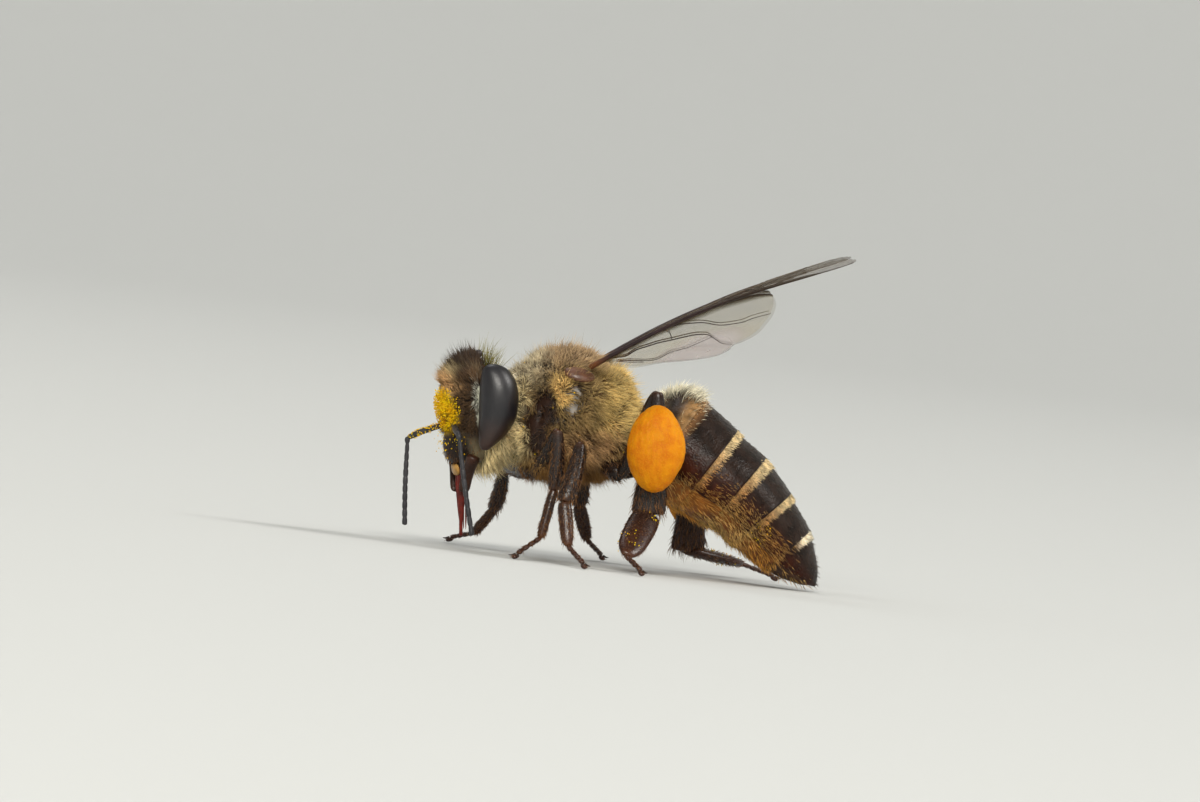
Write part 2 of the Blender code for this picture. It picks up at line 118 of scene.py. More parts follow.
# Half width and half thickness along each length of a leg, as shares of that length
LEG_SHAPES = {
    "fore": {
        "coxa": [(0, 0.16, 0.16), (0.25, 0.25, 0.24), (0.75, 0.21, 0.20), (1, 0.12, 0.12)],
        "femur": [
            (0, 0.08, 0.08), (0.08, 0.14, 0.13), (0.35, 0.20, 0.19), (0.8, 0.17, 0.16), (1, 0.09, 0.10),
        ],
        "tibia": [
            (0, 0.09, 0.09), (0.08, 0.14, 0.12), (0.6, 0.19, 0.15), (0.93, 0.17, 0.14), (1, 0.10, 0.09),
        ],
        "metatarsus": [(0, 0.07, 0.07), (0.1, 0.12, 0.11), (0.85, 0.12, 0.10), (1, 0.07, 0.06)],
    },
    "mid": {
        "coxa": [(0, 0.16, 0.16), (0.25, 0.26, 0.24), (0.75, 0.22, 0.20), (1, 0.12, 0.12)],
        "femur": [
            (0, 0.08, 0.08), (0.08, 0.15, 0.13), (0.35, 0.21, 0.18), (0.8, 0.18, 0.16), (1, 0.09, 0.10),
        ],
        "tibia": [
            (0, 0.09, 0.09), (0.08, 0.15, 0.12), (0.6, 0.23, 0.16), (0.93, 0.22, 0.15), (1, 0.11, 0.09),
        ],
        "metatarsus": [(0, 0.08, 0.07), (0.1, 0.18, 0.11), (0.8, 0.16, 0.10), (1, 0.08, 0.06)],
    },
    "hind": {
        "coxa": [(0, 0.18, 0.18), (0.25, 0.30, 0.27), (0.75, 0.24, 0.23), (1, 0.13, 0.13)],
        "femur": [
            (0, 0.09, 0.09), (0.08, 0.16, 0.14), (0.4, 0.23, 0.19), (0.85, 0.22, 0.18), (1, 0.11, 0.11),
        ],
        "tibia": [
            (0, 0.10, 0.11), (0.06, 0.17, 0.15), (0.4, 0.28, 0.16), (0.93, 0.44, 0.17), (1, 0.36, 0.10),
        ],
        "metatarsus": [(0, 0.12, 0.08), (0.08, 0.38, 0.14), (0.75, 0.36, 0.13), (1, 0.14, 0.08)],
    },
}
# The abdomen's rings from the waist to the sting: along Y, up, half width, half thickness
ABDOMEN_ROWS = [
    (1.52, 3.42, 0.55, 0.52),
    (1.78, 3.39, 1.26, 1.17),
    (2.17, 3.24, 1.68, 1.39),
    (3.15, 2.62, 1.87, 1.31),
    (3.96, 2.17, 1.84, 1.16),
    (4.70, 1.50, 1.60, 1.00),
    (5.41, 0.83, 1.12, 0.76),
    (5.92, 0.36, 0.50, 0.38),
    (6.12, 0.19, 0.12, 0.09),
]
# First and last ring of each of the abdomen's segments
SEGMENT_SPANS = [(0, 2), (2, 2.92), (2.92, 3.90), (3.90, 4.80), (4.80, 5.82), (5.82, 8)]
LAST_SEGMENT = len(SEGMENT_SPANS) - 1
SECTION_POWER = 2.15  # how square the abdomen's sections are, where 2 is an ellipse
BAND_CLEAR = (0, 0, 4, 6, 14, 34)  # how far above a plate's lower edge its felt band ends, in degrees
PLATE_EDGES = (-22.0, 202.0)  # where a back plate ends on her left and right, in degrees from level
PLATE_THICKNESS = 0.045

# The wings: sizes; rows of the outline as (share of the length, front and hind edge in shares of the
# chord); veins as (radius at the start, radius at the end, path in shares of the length and the chord)
WINGS = {
    "fore": {
        "root": (1.42, -0.08, 4.93), "length": 7.85, "chord": 2.85, "sweep": 32.5, "rise": 29.1, "droop": 0.0,
        "bow": 0.28, "thickness": 0.012, "pleats": 0.010, "folds": 90.0, "vein": 0.8,
        "rows": [
            (0.00, 0.000, 0.12), (0.14, -0.050, 0.26), (0.34, -0.075, 0.50), (0.55, -0.065, 0.82),
            (0.72, -0.045, 0.97), (0.83, -0.010, 0.86), (0.95, 0.070, 0.52), (1.00, 0.240, 0.29),
        ],
        "veins": [
            (0.090, 0.012, [
                (0.0, 0.01), (0.12, -0.035), (0.34, -0.06), (0.6, -0.045), (0.84, 0.005), (0.94, 0.07)]),
            (0.060, 0.034, [(0.0, 0.05), (0.12, 0.01), (0.3, -0.02), (0.5, -0.02), (0.62, -0.03)]),
            (0.030, 0.012, [(0.5, -0.01), (0.60, 0.10), (0.72, 0.15), (0.86, 0.10), (0.92, 0.06)]),
            (0.034, 0.022, [
                (0.03, 0.07), (0.18, 0.13), (0.36, 0.25), (0.47, 0.33), (0.62, 0.40), (0.78, 0.46)]),
            (0.030, 0.020, [(0.03, 0.09), (0.14, 0.20), (0.30, 0.41), (0.40, 0.56), (0.50, 0.72)]),
            (0.022, 0.018, [(0.34, -0.01), (0.385, 0.13), (0.40, 0.27)]),
            (0.022, 0.018, [(0.385, 0.13), (0.50, 0.16), (0.60, 0.12)]),
            (0.020, 0.018, [(0.50, 0.16), (0.47, 0.33)]),
            (0.020, 0.018, [(0.62, 0.13), (0.65, 0.28), (0.62, 0.40)]),
            (0.020, 0.016, [(0.72, 0.15), (0.76, 0.32), (0.70, 0.44)]),
            (0.020, 0.016, [(0.47, 0.33), (0.45, 0.48), (0.40, 0.56)]),
            (0.018, 0.014, [(0.62, 0.40), (0.60, 0.58), (0.56, 0.66), (0.45, 0.60)]),
            (0.018, 0.012, [(0.60, 0.58), (0.67, 0.70), (0.70, 0.86)]),
        ],
    },
    "hind": {
        "root": (1.28, 0.21, 5.13), "length": 5.10, "chord": 1.80, "sweep": 33.6, "rise": 33.5, "droop": 39.0,
        "bow": 0.0, "thickness": 0.010, "pleats": 0.024, "folds": 34.0, "vein": 0.55,
        "rows": [
            (0.00, 0.000, 0.15), (0.06, -0.030, 0.40), (0.20, -0.065, 0.66), (0.34, -0.080, 0.88),
            (0.43, -0.066, 1.00), (0.50, -0.060, 1.03), (0.55, -0.055, 0.97), (0.62, -0.040, 0.97),
            (0.75, -0.005, 0.93), (0.93, 0.140, 0.62), (1.00, 0.290, 0.33),
        ],
        "veins": [
            (0.055, 0.026, [(0.0, 0.01), (0.2, -0.05), (0.42, -0.065), (0.6, -0.035)]),
            (0.024, 0.012, [(0.6, -0.035), (0.78, 0.03), (0.95, 0.18)]),
            (0.034, 0.026, [
                (0.0, 0.03), (0.10, 0.13), (0.27, 0.16), (0.37, 0.26), (0.48, 0.385), (0.515, 0.52)]),
            (0.024, 0.014, [(0.515, 0.52), (0.52, 0.70), (0.525, 0.82), (0.55, 0.93)]),
            (0.030, 0.014, [
                (0.29, -0.06), (0.41, -0.055), (0.515, 0.05), (0.58, 0.26), (0.63, 0.44), (0.72, 0.58),
                (0.79, 0.61), (0.88, 0.68)]),
            (0.018, 0.014, [(0.37, 0.26), (0.40, 0.10), (0.41, -0.03)]),
            (0.024, 0.012, [
                (0.04, 0.16), (0.09, 0.26), (0.18, 0.48), (0.31, 0.54), (0.44, 0.59), (0.52, 0.62)]),
            (0.016, 0.010, [(0.03, 0.18), (0.07, 0.32), (0.12, 0.46)]),
        ],
    },
}
WING_ARCH = 0.05  # how far the film bulges between its two edges, at the root
# Left, forward and up from the head's centre
TONGUE = {"base": (0.0, 0.46, -1.45), "tip": (0.0, 0.46, -3.20)}
# The socket is counted from the head's centre, elbow and tip along the bench's axes
FEELERS = {
    "left": {"socket": (0.26, 0.74, -0.38), "elbow": (1.45, -3.14, 2.87), "tip": (1.62, -2.50, 0.42)},
    "right": {"socket": (-0.26, 0.74, -0.38), "elbow": (-0.35, -4.42, 2.60), "tip": (-0.42, -4.22, 0.42)},
}
POLLEN_HALF = (0.72, 0.56, 1.10)
POLLEN_SHARE = 0.46  # how far down the shin a load sits
POLLEN_OUT = 0.62  # how far out from the shin's middle line


def linear(red, green, blue):
    """A colour given as screen values of 0 to 255, made linear for the shaders."""
    return tuple(
        ((value / 255 + 0.055) / 1.055) ** 2.4 if value > 10 else value / 255 / 12.92
        for value in (red, green, blue))


class BeeColours(bpy.types.PropertyGroup):
    """Main colours of the bee."""

    buff: FloatVectorProperty(
        name="Buff hair", description="Hair of the thorax", subtype="COLOR",
        default=linear(150, 124, 80))
    tuft: FloatVectorProperty(
        name="Dark tuft", description="Hair on top of the head", subtype="COLOR",
        default=linear(58, 42, 28))
    shell: FloatVectorProperty(
        name="Shell", description="Back plates and legs", subtype="COLOR",
        default=linear(33, 23, 18))
    band: FloatVectorProperty(
        name="Cream bands", description="Felt bands of the abdomen", subtype="COLOR",
        default=linear(230, 206, 158))
    pollen: FloatVectorProperty(
        name="Packed pollen", description="Loads on the hind legs", subtype="COLOR",
        default=linear(204, 128, 3))
    dust: FloatVectorProperty(
        name="Loose pollen", description="Grains on the face", subtype="COLOR",
        default=linear(252, 206, 14))
    film: FloatVectorProperty(
        name="Wing film", description="Clear part of the wings", subtype="COLOR",
        default=linear(164, 150, 110))


class BeeSizes(bpy.types.PropertyGroup):
    """Sizes of the coat and the fine pieces, in millimetres."""

    hair: FloatProperty(
        name="Hair width", description="Across a hair's root, in mm", default=0.024, min=0.005)
    back: FloatProperty(
        name="Back hair", description="Length on the thorax, in mm", default=0.38, min=0.05)
    tuft: FloatProperty(
        name="Tuft hair", description="Length on the head's top, in mm", default=0.37, min=0.05)
    grain: FloatProperty(
        name="Grain", description="Radius of a loose pollen grain, in mm", default=0.015, min=0.005)
    seed: IntProperty(
        name="Seed", description="Number that the scattered hairs start from", default=7)


def colours():
    """The colours that the user has set."""
    return bpy.context.scene.bee_colours


def sizes():
    """The sizes that the user has set."""
    return bpy.context.scene.bee_sizes


# Bench work: making, joining and finishing one mesh

def clear_choice():
    """Leaves edit mode and selects nothing."""
    if bpy.context.object and bpy.context.object.mode != "OBJECT":
        bpy.ops.object.mode_set(mode="OBJECT")
    bpy.ops.object.select_all(action="DESELECT")


def pick(*things):
    """Selects those objects alone, the last one active."""
    clear_choice()
    for thing in things:
        thing.select_set(True)
    bpy.context.view_layer.objects.active = things[-1]


def named(name):
    """The object that was just made, under that name."""
    made = bpy.context.object
    made.name = made.data.name = name
    return made


def join(name, things):
    """Several meshes joined into one object of that name."""
    pick(*things)
    if len(things) > 1:
        bpy.ops.object.join()
    return named(name)


def apply_step(thing, kind, **settings):
    """Adds one modifier with its settings and applies it."""
    pick(thing)
    step = thing.modifiers.new(kind.title(), kind)
    for key, value in settings.items():
        setattr(step, key, value)
    bpy.ops.object.modifier_apply(modifier=step.name)


def tidy_normals(thing):
    """Turns every face outward."""
    pick(thing)
    bpy.ops.object.mode_set(mode="EDIT")
    bpy.ops.mesh.select_all(action="SELECT")
    bpy.ops.mesh.normals_make_consistent(inside=False)
    bpy.ops.object.mode_set(mode="OBJECT")


def settle(piece, finish, slot, *nodes):
    """Moves a finished bench piece into the frame, gives it its finish and hides the solids it stands for;
    slot is not used.
    """
    piece.data.transform(Matrix.Scale(MM, 4) @ Matrix.Translation(SHIFT))
    piece.data.materials.clear()
    piece.data.materials.append(finish)
    piece.data.shade_smooth()
    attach(piece, "root")
    if nodes:
        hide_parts(*nodes)
    return piece


def points_of(piece):
    """A mesh's vertices, one row each."""
    found = np.empty(len(piece.data.vertices) * 3)
    piece.data.vertices.foreach_get("co", found)
    return found.reshape(-1, 3)


def normals_of(piece):
    """A mesh's vertex normals, one row each."""
    found = np.empty(len(piece.data.vertices) * 3)
    piece.data.vertex_normals.foreach_get("vector", found)
    return found.reshape(-1, 3)


def set_points(piece, points):
    """Moves a mesh's vertices to those points."""
    piece.data.vertices.foreach_set("co", points.ravel())
    piece.data.update()


def paint(piece, tints):
    """Gives every vertex its own colour, as the attribute that the finishes read."""
    layer = piece.data.color_attributes.new("tint", "FLOAT_COLOR", "POINT")
    layer.data.foreach_set("color", np.column_stack([tints, np.ones(len(tints))]).ravel())


def flow(rows, steps):
    """A smooth run of numbers through the given rows, with steps between each two of them."""
    rows = np.array(rows, dtype=float)
    padded = np.vstack([2 * rows[0] - rows[1], rows, 2 * rows[-1] - rows[-2]])
    run = []
    for before, here, there, after in zip(padded, padded[1:], padded[2:], padded[3:]):
        for t in np.arange(steps) / steps:
            run.append(
                0.5 * (2 * here + (there - before) * t
                       + (2 * before - 5 * here + 4 * there - after) * t ** 2
                       + (3 * here - before - 3 * there + after) * t ** 3)
            )
    return np.vstack([*run, rows[-1]])


def ripple(points, size, seed):
    """A smooth wander between -1 and 1 that changes over about that size, with no lattice in it."""
    luck = np.random.default_rng(seed)
    total = np.zeros(len(points))
    for _ in range(6):
        direction = luck.normal(size=3)
        direction *= 2.2 / size / np.linalg.norm(direction) * luck.uniform(0.6, 1.5)
        total += np.sin(points @ direction + luck.uniform(0, 2 * math.pi))
    return np.tanh(total / 2.0)


def wander(points, size, seed):
    """A ripple of its own along each axis."""
    return np.column_stack([ripple(points, size, seed + k) for k in range(3)])


def mirrored(points):
    """The same points, all on her left side."""
    return np.column_stack([np.abs(points[:, 0]), points[:, 1:]])


def drawn_limb(name, profile, sides, levels=1):
    """A limb along +Z: a circle drawn out station by station, then smoothed.

    Each station is along, half across, half deep and, where the limb bows, aside and ahead.
    """
    stations = [tuple(row) + (0.0,) * (5 - len(row)) for row in profile]
    along, across, deep, aside, ahead = stations[0]
    clear_choice()
    bpy.ops.mesh.primitive_circle_add(vertices=sides, radius=1.0, fill_type="NGON", location=(0, 0, 0))
    limb = named(name)
    bpy.ops.object.mode_set(mode="EDIT")
    bpy.ops.mesh.select_all(action="SELECT")
    bpy.ops.transform.resize(value=(across, deep, 1.0), center_override=(0, 0, 0))
    bpy.ops.transform.translate(value=(aside, ahead, along))
    for before, here in zip(stations, stations[1:]):
        step = (here[3] - before[3], here[4] - before[4], here[0] - before[0])
        bpy.ops.mesh.extrude_region_move(TRANSFORM_OT_translate={"value": step})
        growth = (here[1] / before[1], here[2] / before[2], 1.0)
        bpy.ops.transform.resize(value=growth, center_override=(here[3], here[4], here[0]))
    bpy.ops.mesh.select_all(action="SELECT")
    bpy.ops.mesh.normals_make_consistent(inside=False)
    bpy.ops.object.mode_set(mode="OBJECT")
    apply_step(limb, "SUBSURF", levels=levels, render_levels=levels)
    return limb


def lay(limb, start, end, broad):
    """Lays a limb drawn along +Z from start towards end, its width along broad."""
    start, end = Vector(start), Vector(end)
    axis = (end - start).normalized()
    wide = (Vector(broad) - Vector(broad).dot(axis) * axis).normalized()
    deep = axis.cross(wide)
    turn = Matrix((wide, deep, axis)).transposed().to_4x4()
    limb.data.transform(Matrix.Translation(start) @ turn)
    return limb


def moulded(name, balls, grain, softening):
    """One closed skin over many balls: (centre, halves, turn), fused by a voxel remesh and softened."""
    parts = []
    for centre, halves, turn in balls:
        clear_choice()
        bpy.ops.mesh.primitive_uv_sphere_add(segments=40, ring_count=24, radius=1.0, location=(0, 0, 0))
        ball = bpy.context.object
        ball.data.transform(Matrix.Translation(centre) @ turn.to_4x4() @ Matrix.Diagonal((*halves, 1.0)))
        parts.append(ball)
    made = join(name, parts)
    apply_step(made, "REMESH", mode="VOXEL", voxel_size=grain, adaptivity=0.0)
    apply_step(made, "SMOOTH", factor=0.5, iterations=softening)
    return made


def carve(piece, lines):
    """Presses grooves (or, with a negative depth, ridges) into a piece along polylines."""
    points, normals = points_of(piece), normals_of(piece)
    for path, width, depth in lines:
        path = flow(path, 8)
        nearest = np.full(len(points), 1e9)
        for a, b in zip(path, path[1:]):
            run = b - a
            share = np.clip(((points - a) @ run) / (run @ run), 0, 1)
            nearest = np.minimum(nearest, np.linalg.norm(points - a - share[:, None] * run, axis=1))
        points = points - normals * (depth * np.exp(-(nearest / width) ** 2))[:, None]
    set_points(piece, points)


# Finishes

class Finish:
    """A material in the making: add() puts in a node, feed() links one to the shader."""

    def __init__(self, name, values):
        self.material = bpy.data.materials.new(name)
        self.material.use_nodes = True
        self.nodes = self.material.node_tree.nodes
        self.links = self.material.node_tree.links
        self.shader = self.nodes["Principled BSDF"]
        for socket, value in values.items():
            self.shader.inputs[socket].default_value = value

    def add(self, kind, inputs, **settings):
        """A node of that kind; an input is either a value or another node's output."""
        node = self.nodes.new("ShaderNode" + kind)
        for key, value in settings.items():
            setattr(node, key, value)
        for key, value in inputs.items():
            if isinstance(value, bpy.types.NodeSocket):
                self.links.new(value, node.inputs[key])
            else:
                node.inputs[key].default_value = value
        return node

    def feed(self, socket, output):
        """Links an output to one of the shader's sockets."""
        self.links.new(output, self.shader.inputs[socket])

    def place(self):
        """The place in the piece's own axes."""
        return self.add("TexCoord", {}).outputs["Object"]

    def noise(self, size, detail=3.0):
        """A noise whose patches are about that many millimetres."""
        inputs = {"Vector": self.place(), "Scale": 1.0 / (size * MM), "Detail": detail, "Roughness": 0.6}
        return self.add("TexNoise", inputs).outputs["Fac"]

    def cells(self, size):
        """Rounded cells of that many millimetres, as the distance from each one's middle."""
        inputs = {"Vector": self.place(), "Scale": 1.0 / (size * MM)}
        return self.add("TexVoronoi", inputs, feature="F1").outputs["Distance"]

    def grey(self, value):
        """One value as a shade of grey."""
        return self.add("CombineColor", {"Red": value, "Green": value, "Blue": value}).outputs[0]

    def spread(self, value, low, high, to_low=0.0, to_high=1.0):
        """A value's run from low to high, softly mapped on to another run."""
        inputs = {"Value": value, "From Min": low, "From Max": high, "To Min": to_low, "To Max": to_high}
        return self.add("MapRange", inputs, interpolation_type="SMOOTHSTEP").outputs["Result"]

    def mix(self, share, first, second, blend="MIX"):
        """Two colours mixed by a share."""
        node = self.add("Mix", {0: share, 6: first, 7: second}, data_type="RGBA", blend_type=blend)
        return node.outputs[2]

    def attribute(self, name, output="Color"):
        """What the mesh says at each point under that name."""
        return self.add("Attribute", {}, attribute_name=name).outputs[output]

    def relief(self, height, depth, strength, under=None):
        """A bump whose full height is depth millimetres."""
        inputs = {"Height": height, "Distance": depth * MM, "Strength": strength}
        if under:
            inputs["Normal"] = under
        return self.add("Bump", inputs).outputs["Normal"]


def solid(colour):
    """A colour with full cover."""
    return (*colour, 1.0)


def scaled(colour, share):
    """A colour made darker or lighter."""
    return tuple(c * share for c in colour)


def shell_finish(name, values, grain=0.05, mottle=0.35, pits=0.010, tint=None):
    """Polished insect shell: its colour from the tint or one colour, mottled, with a fine leathery relief."""
    finish = Finish(name, values)
    base = finish.attribute("tint") if tint is None else solid(tint)
    shade = finish.grey(finish.spread(finish.noise(grain * 6), 0.3, 0.7, 1.0 - mottle, 1.0 + mottle))
    finish.feed("Base Color", finish.mix(1.0, base, shade, "MULTIPLY"))
    rough = values["Roughness"]
    finish.feed("Roughness", finish.spread(finish.noise(grain * 2.5), 0.3, 0.7, rough * 0.8, rough * 1.35))
    first = finish.relief(finish.cells(grain), pits, 0.5)
    finish.feed("Normal", finish.relief(finish.noise(grain * 4), pits * 2.5, 0.45, first))
    return finish.material


def hair_finish(name):
    """A coat's hair: the tint of its place, darker towards the root as painted shade deep in the coat, paler
    at the tip, each hair its own tone.
    """
    finish = Finish(name, {"Specular IOR Level": 0.18, "Sheen Weight": 0.06, "Sheen Roughness": 0.5})
    tone = finish.spread(finish.attribute("tone", "Fac"), 0.0, 1.0, 0.50, 1.40)
    # painted shade: darker towards each hair's root
    reach = finish.spread(finish.attribute("reach", "Fac"), 0.0, 0.8, 0.50, 1.12)
    level = finish.add("Math", {0: tone, 1: reach}, operation="MULTIPLY").outputs[0]
    shade = finish.grey(level)
    uneven = finish.grey(finish.spread(finish.noise(0.5), 0.3, 0.7, 0.9, 1.1))
    shaded = finish.mix(1.0, finish.attribute("tint"), shade, "MULTIPLY")
    finish.feed("Base Color", finish.mix(1.0, shaded, uneven, "MULTIPLY"))
    finish.feed("Roughness", finish.spread(finish.noise(0.03), 0.3, 0.7, 0.5, 0.75))
    return finish.material


# Markings, shared by the skin and the coat

def head_axes(points):
    """Points as left, forward and up from the head's centre."""
    away = points - np.array(HEAD_CENTRE)
    return np.column_stack([away @ np.array(axis) for axis in (CHEEK, FACE, UP)])


def soft(distance, edge):
    """1 inside, 0 outside, where distance 1 is the border and edge is how soft it is."""
    share = np.clip((1.0 + edge - distance) / (2 * edge), 0, 1)
    return share * share * (3 - 2 * share)


def spot(points, centre, halves, edge=0.35):
    """1 inside an egg of those halves, 0 outside it, with a soft border."""
    away = (points - np.array(centre)) / np.array(halves)
    return soft(np.linalg.norm(away, axis=1), edge)


def blend(tints, share, colour):
    """Tints moved towards a colour, by each point's own share."""
    return tints + share[:, None] * (np.array(colour) - tints)


HAIR = {
    "collar": linear(186, 172, 142),
    "top": linear(158, 132, 98),
    "rear": linear(222, 192, 122),
    "orange": linear(222, 186, 116),
    "under": linear(138, 100, 52),
    "tan": linear(196, 156, 108),
    "fuzz": linear(86, 64, 42),
    "margin": linear(178, 176, 162),
    "beard": linear(240, 218, 164),
    "olive": linear(120, 112, 50),
    "black": linear(40, 30, 22),
    "fluff": linear(250, 242, 214),
    "amber": linear(222, 156, 66),
    "white": linear(252, 240, 212),
    "pale": linear(232, 192, 118),
    "limb": linear(124, 84, 46),
    # dark brown hair; also the colour of the painted shadow in the crease behind the head
    "dark": linear(84, 58, 36),
}

# The head's marks: colour, centre left, forward and up, halves, softness; the same on both sides
HEAD_MARKS = [
    ("fuzz", (0.80, 0.45, 0.10), (0.55, 0.70, 0.95), 0.3),
    ("tan", (0.0, 0.85, 0.54), (0.62, 0.50, 0.24), 0.35),
    ("dust", (0.0, 0.90, -0.15), (0.60, 0.50, 0.54), 0.25),
    ("black", (0.0, 0.80, -1.02), (0.80, 0.60, 0.50), 0.25),
    ("margin", (1.12, 0.38, 0.25), (0.18, 0.05, 0.58), 0.3),
    ("tuft", (0.0, 0.20, 1.35), (1.30, 1.00, 0.66), 0.25),
]
# The thorax's marks: colour, centre (left, along Y, up), halves, softness; the same on both sides
THORAX_MARKS = [
    ("rear", (1.2, 1.05, 3.90), (2.2, 0.85, 1.6), 0.4),
    ("top", (0.0, -0.70, 5.20), (1.5, 1.15, 0.75), 0.4),
    ("collar", (0.7, -1.85, 4.85), (1.6, 0.70, 0.75), 0.4),
    ("orange", (1.6, -0.80, 4.26), (0.9, 0.20, 0.36), 0.5),
    ("tan", (1.3, 0.05, 2.95), (1.2, 0.90, 0.50), 0.5),
    ("under", (0.9, -0.10, 2.15), (1.9, 1.8, 0.50), 0.3),
    ("beard", (1.2, -1.80, 3.55), (1.2, 0.28, 0.88), 0.3),
    ("beard", (0.8, -1.60, 2.85), (1.2, 0.32, 0.50), 0.3),
    # painted shadow: dark hair in the crease between the head and the thorax's side
    ("dark", (1.4, -1.15, 3.42), (1.0, 0.27, 0.76), 0.3),
]


def head_tints(points):
    """The coat's colour at points of the head."""
    local = mirrored(head_axes(points)) + 0.05 * wander(points, 0.3, 1)
    shades = dict(HAIR, dust=tuple(colours().dust), tuft=tuple(colours().tuft))
    tints = np.tile(shades["beard"], (len(points), 1))
    for colour, centre, halves, edge in HEAD_MARKS:
        tints = blend(tints, spot(local, centre, halves, edge), shades[colour])
    return blend(tints, 0.9 * browned(points, local), linear(118, 64, 20))


def browned(points, local):
    """Where the yellow dust is rubbed thin and the brown face shows, low on the face."""
    patchy = np.clip(0.35 + 1.6 * ripple(points, 0.12, 98), 0, 1)
    return patchy * spot(local, (0.0, 0.90, -0.46), (0.56, 0.50, 0.30), 0.4)


def thorax_tints(points):
    """The coat's colour at points of the thorax, neck and waist, with a painted shadow in the crease behind
    the head.
    """
    local = mirrored(points) + 0.08 * wander(points, 0.5, 4)
    tints = np.tile(tuple(colours().buff), (len(points), 1))
    for colour, centre, halves, edge in THORAX_MARKS:
        tints = blend(tints, spot(local, centre, halves, edge), HAIR[colour])
    return tints


def near_head(points, reach, rear):
    """True within that reach of the head's centre and in front of rear along Y."""
    return (np.linalg.norm(points - np.array(HEAD_CENTRE), axis=1) < reach) & (points[:, 1] < rear)


def on_head(points):
    """Where the head's own hair grows."""
    return near_head(points, 1.75, -2.0)


def body_tints(points):
    """Head and thorax markings, meeting at the neck."""
    return np.where(near_head(points, 1.85, -1.98)[:, None], head_tints(points), thorax_tints(points))


# Body skin

HEAD_BALLS = [  # left, forward and up from the head's centre, and the three halves
    (0.00, 0.10, 0.27, 1.22, 0.60, 0.74),
    (0.00, 0.12, -0.30, 1.12, 0.66, 0.84),
    (0.00, 0.48, 0.15, 0.72, 0.40, 0.74),
    (0.00, 0.56, -0.86, 0.48, 0.34, 0.56),
    (0.52, 0.08, -0.80, 0.42, 0.46, 0.56),
    (-0.52, 0.08, -0.80, 0.42, 0.46, 0.56),
    (0.00, 0.16, 0.95, 0.52, 0.34, 0.18),
    (0.92, -0.34, -0.10, 0.34, 0.42, 0.84),
    (-0.92, -0.34, -0.10, 0.34, 0.42, 0.84),
]
THORAX_BALLS = [  # place and halves
    (0.00, -0.45, 3.70, 1.60, 1.36, 1.34),
    (0.00, -0.62, 4.12, 1.40, 1.20, 1.02),
    (0.00, 0.40, 4.42, 0.82, 0.38, 0.32),
    (0.00, -1.58, 3.80, 1.15, 0.42, 0.92),
    (0.92, -0.62, 3.20, 0.74, 0.96, 0.98),
    (-0.92, -0.62, 3.20, 0.74, 0.96, 0.98),
    (0.00, 0.60, 3.50, 1.12, 0.50, 0.86),
    (0.00, -0.45, 2.72, 0.95, 1.25, 0.46),
    (0.00, -1.55, 2.85, 0.62, 0.36, 0.42),
    (0.00, -1.92, 3.62, 0.36, 0.55, 0.36),
    (0.00, 1.32, 3.45, 0.30, 0.42, 0.28),
]
SKIN_PATCHES = [  # patches of the thorax's sides, bare or with painted light: centre, halves, colour
    # painted shadow in the crease between the head and the thorax's side
    ((1.4, -1.18, 3.45), (0.8, 0.36, 0.95), (40, 24, 16)),
    # painted sheen: pale grey on the glossy bare patch under the wing
    ((1.5, -0.43, 4.08), (0.6, 0.24, 0.42), (150, 146, 142)),
    ((1.4, -0.38, 4.62), (0.4, 0.42, 0.22), (96, 64, 44)),
]
SIDE_SUTURES = [  # path on her left side, width, depth
    ([(1.12, -1.72, 4.40), (1.42, -1.22, 3.70), (1.34, -1.10, 2.90)], 0.09, 0.10),
    ([(1.50, -0.35, 4.40), (1.60, -0.20, 3.60), (1.42, 0.05, 2.80)], 0.06, 0.07),
    ([(1.32, 0.35, 4.30), (1.30, 0.42, 3.60), (1.05, 0.40, 2.80)], 0.06, 0.07),
    ([(0.62, -1.10, 5.00), (0.66, -0.60, 5.06), (0.62, -0.1, 4.98)], 0.04, 0.03),
]
SKIN_GRAIN = 0.042  # the remesh's cell
SKIN_SOFTENING = 5  # rounds of smoothing


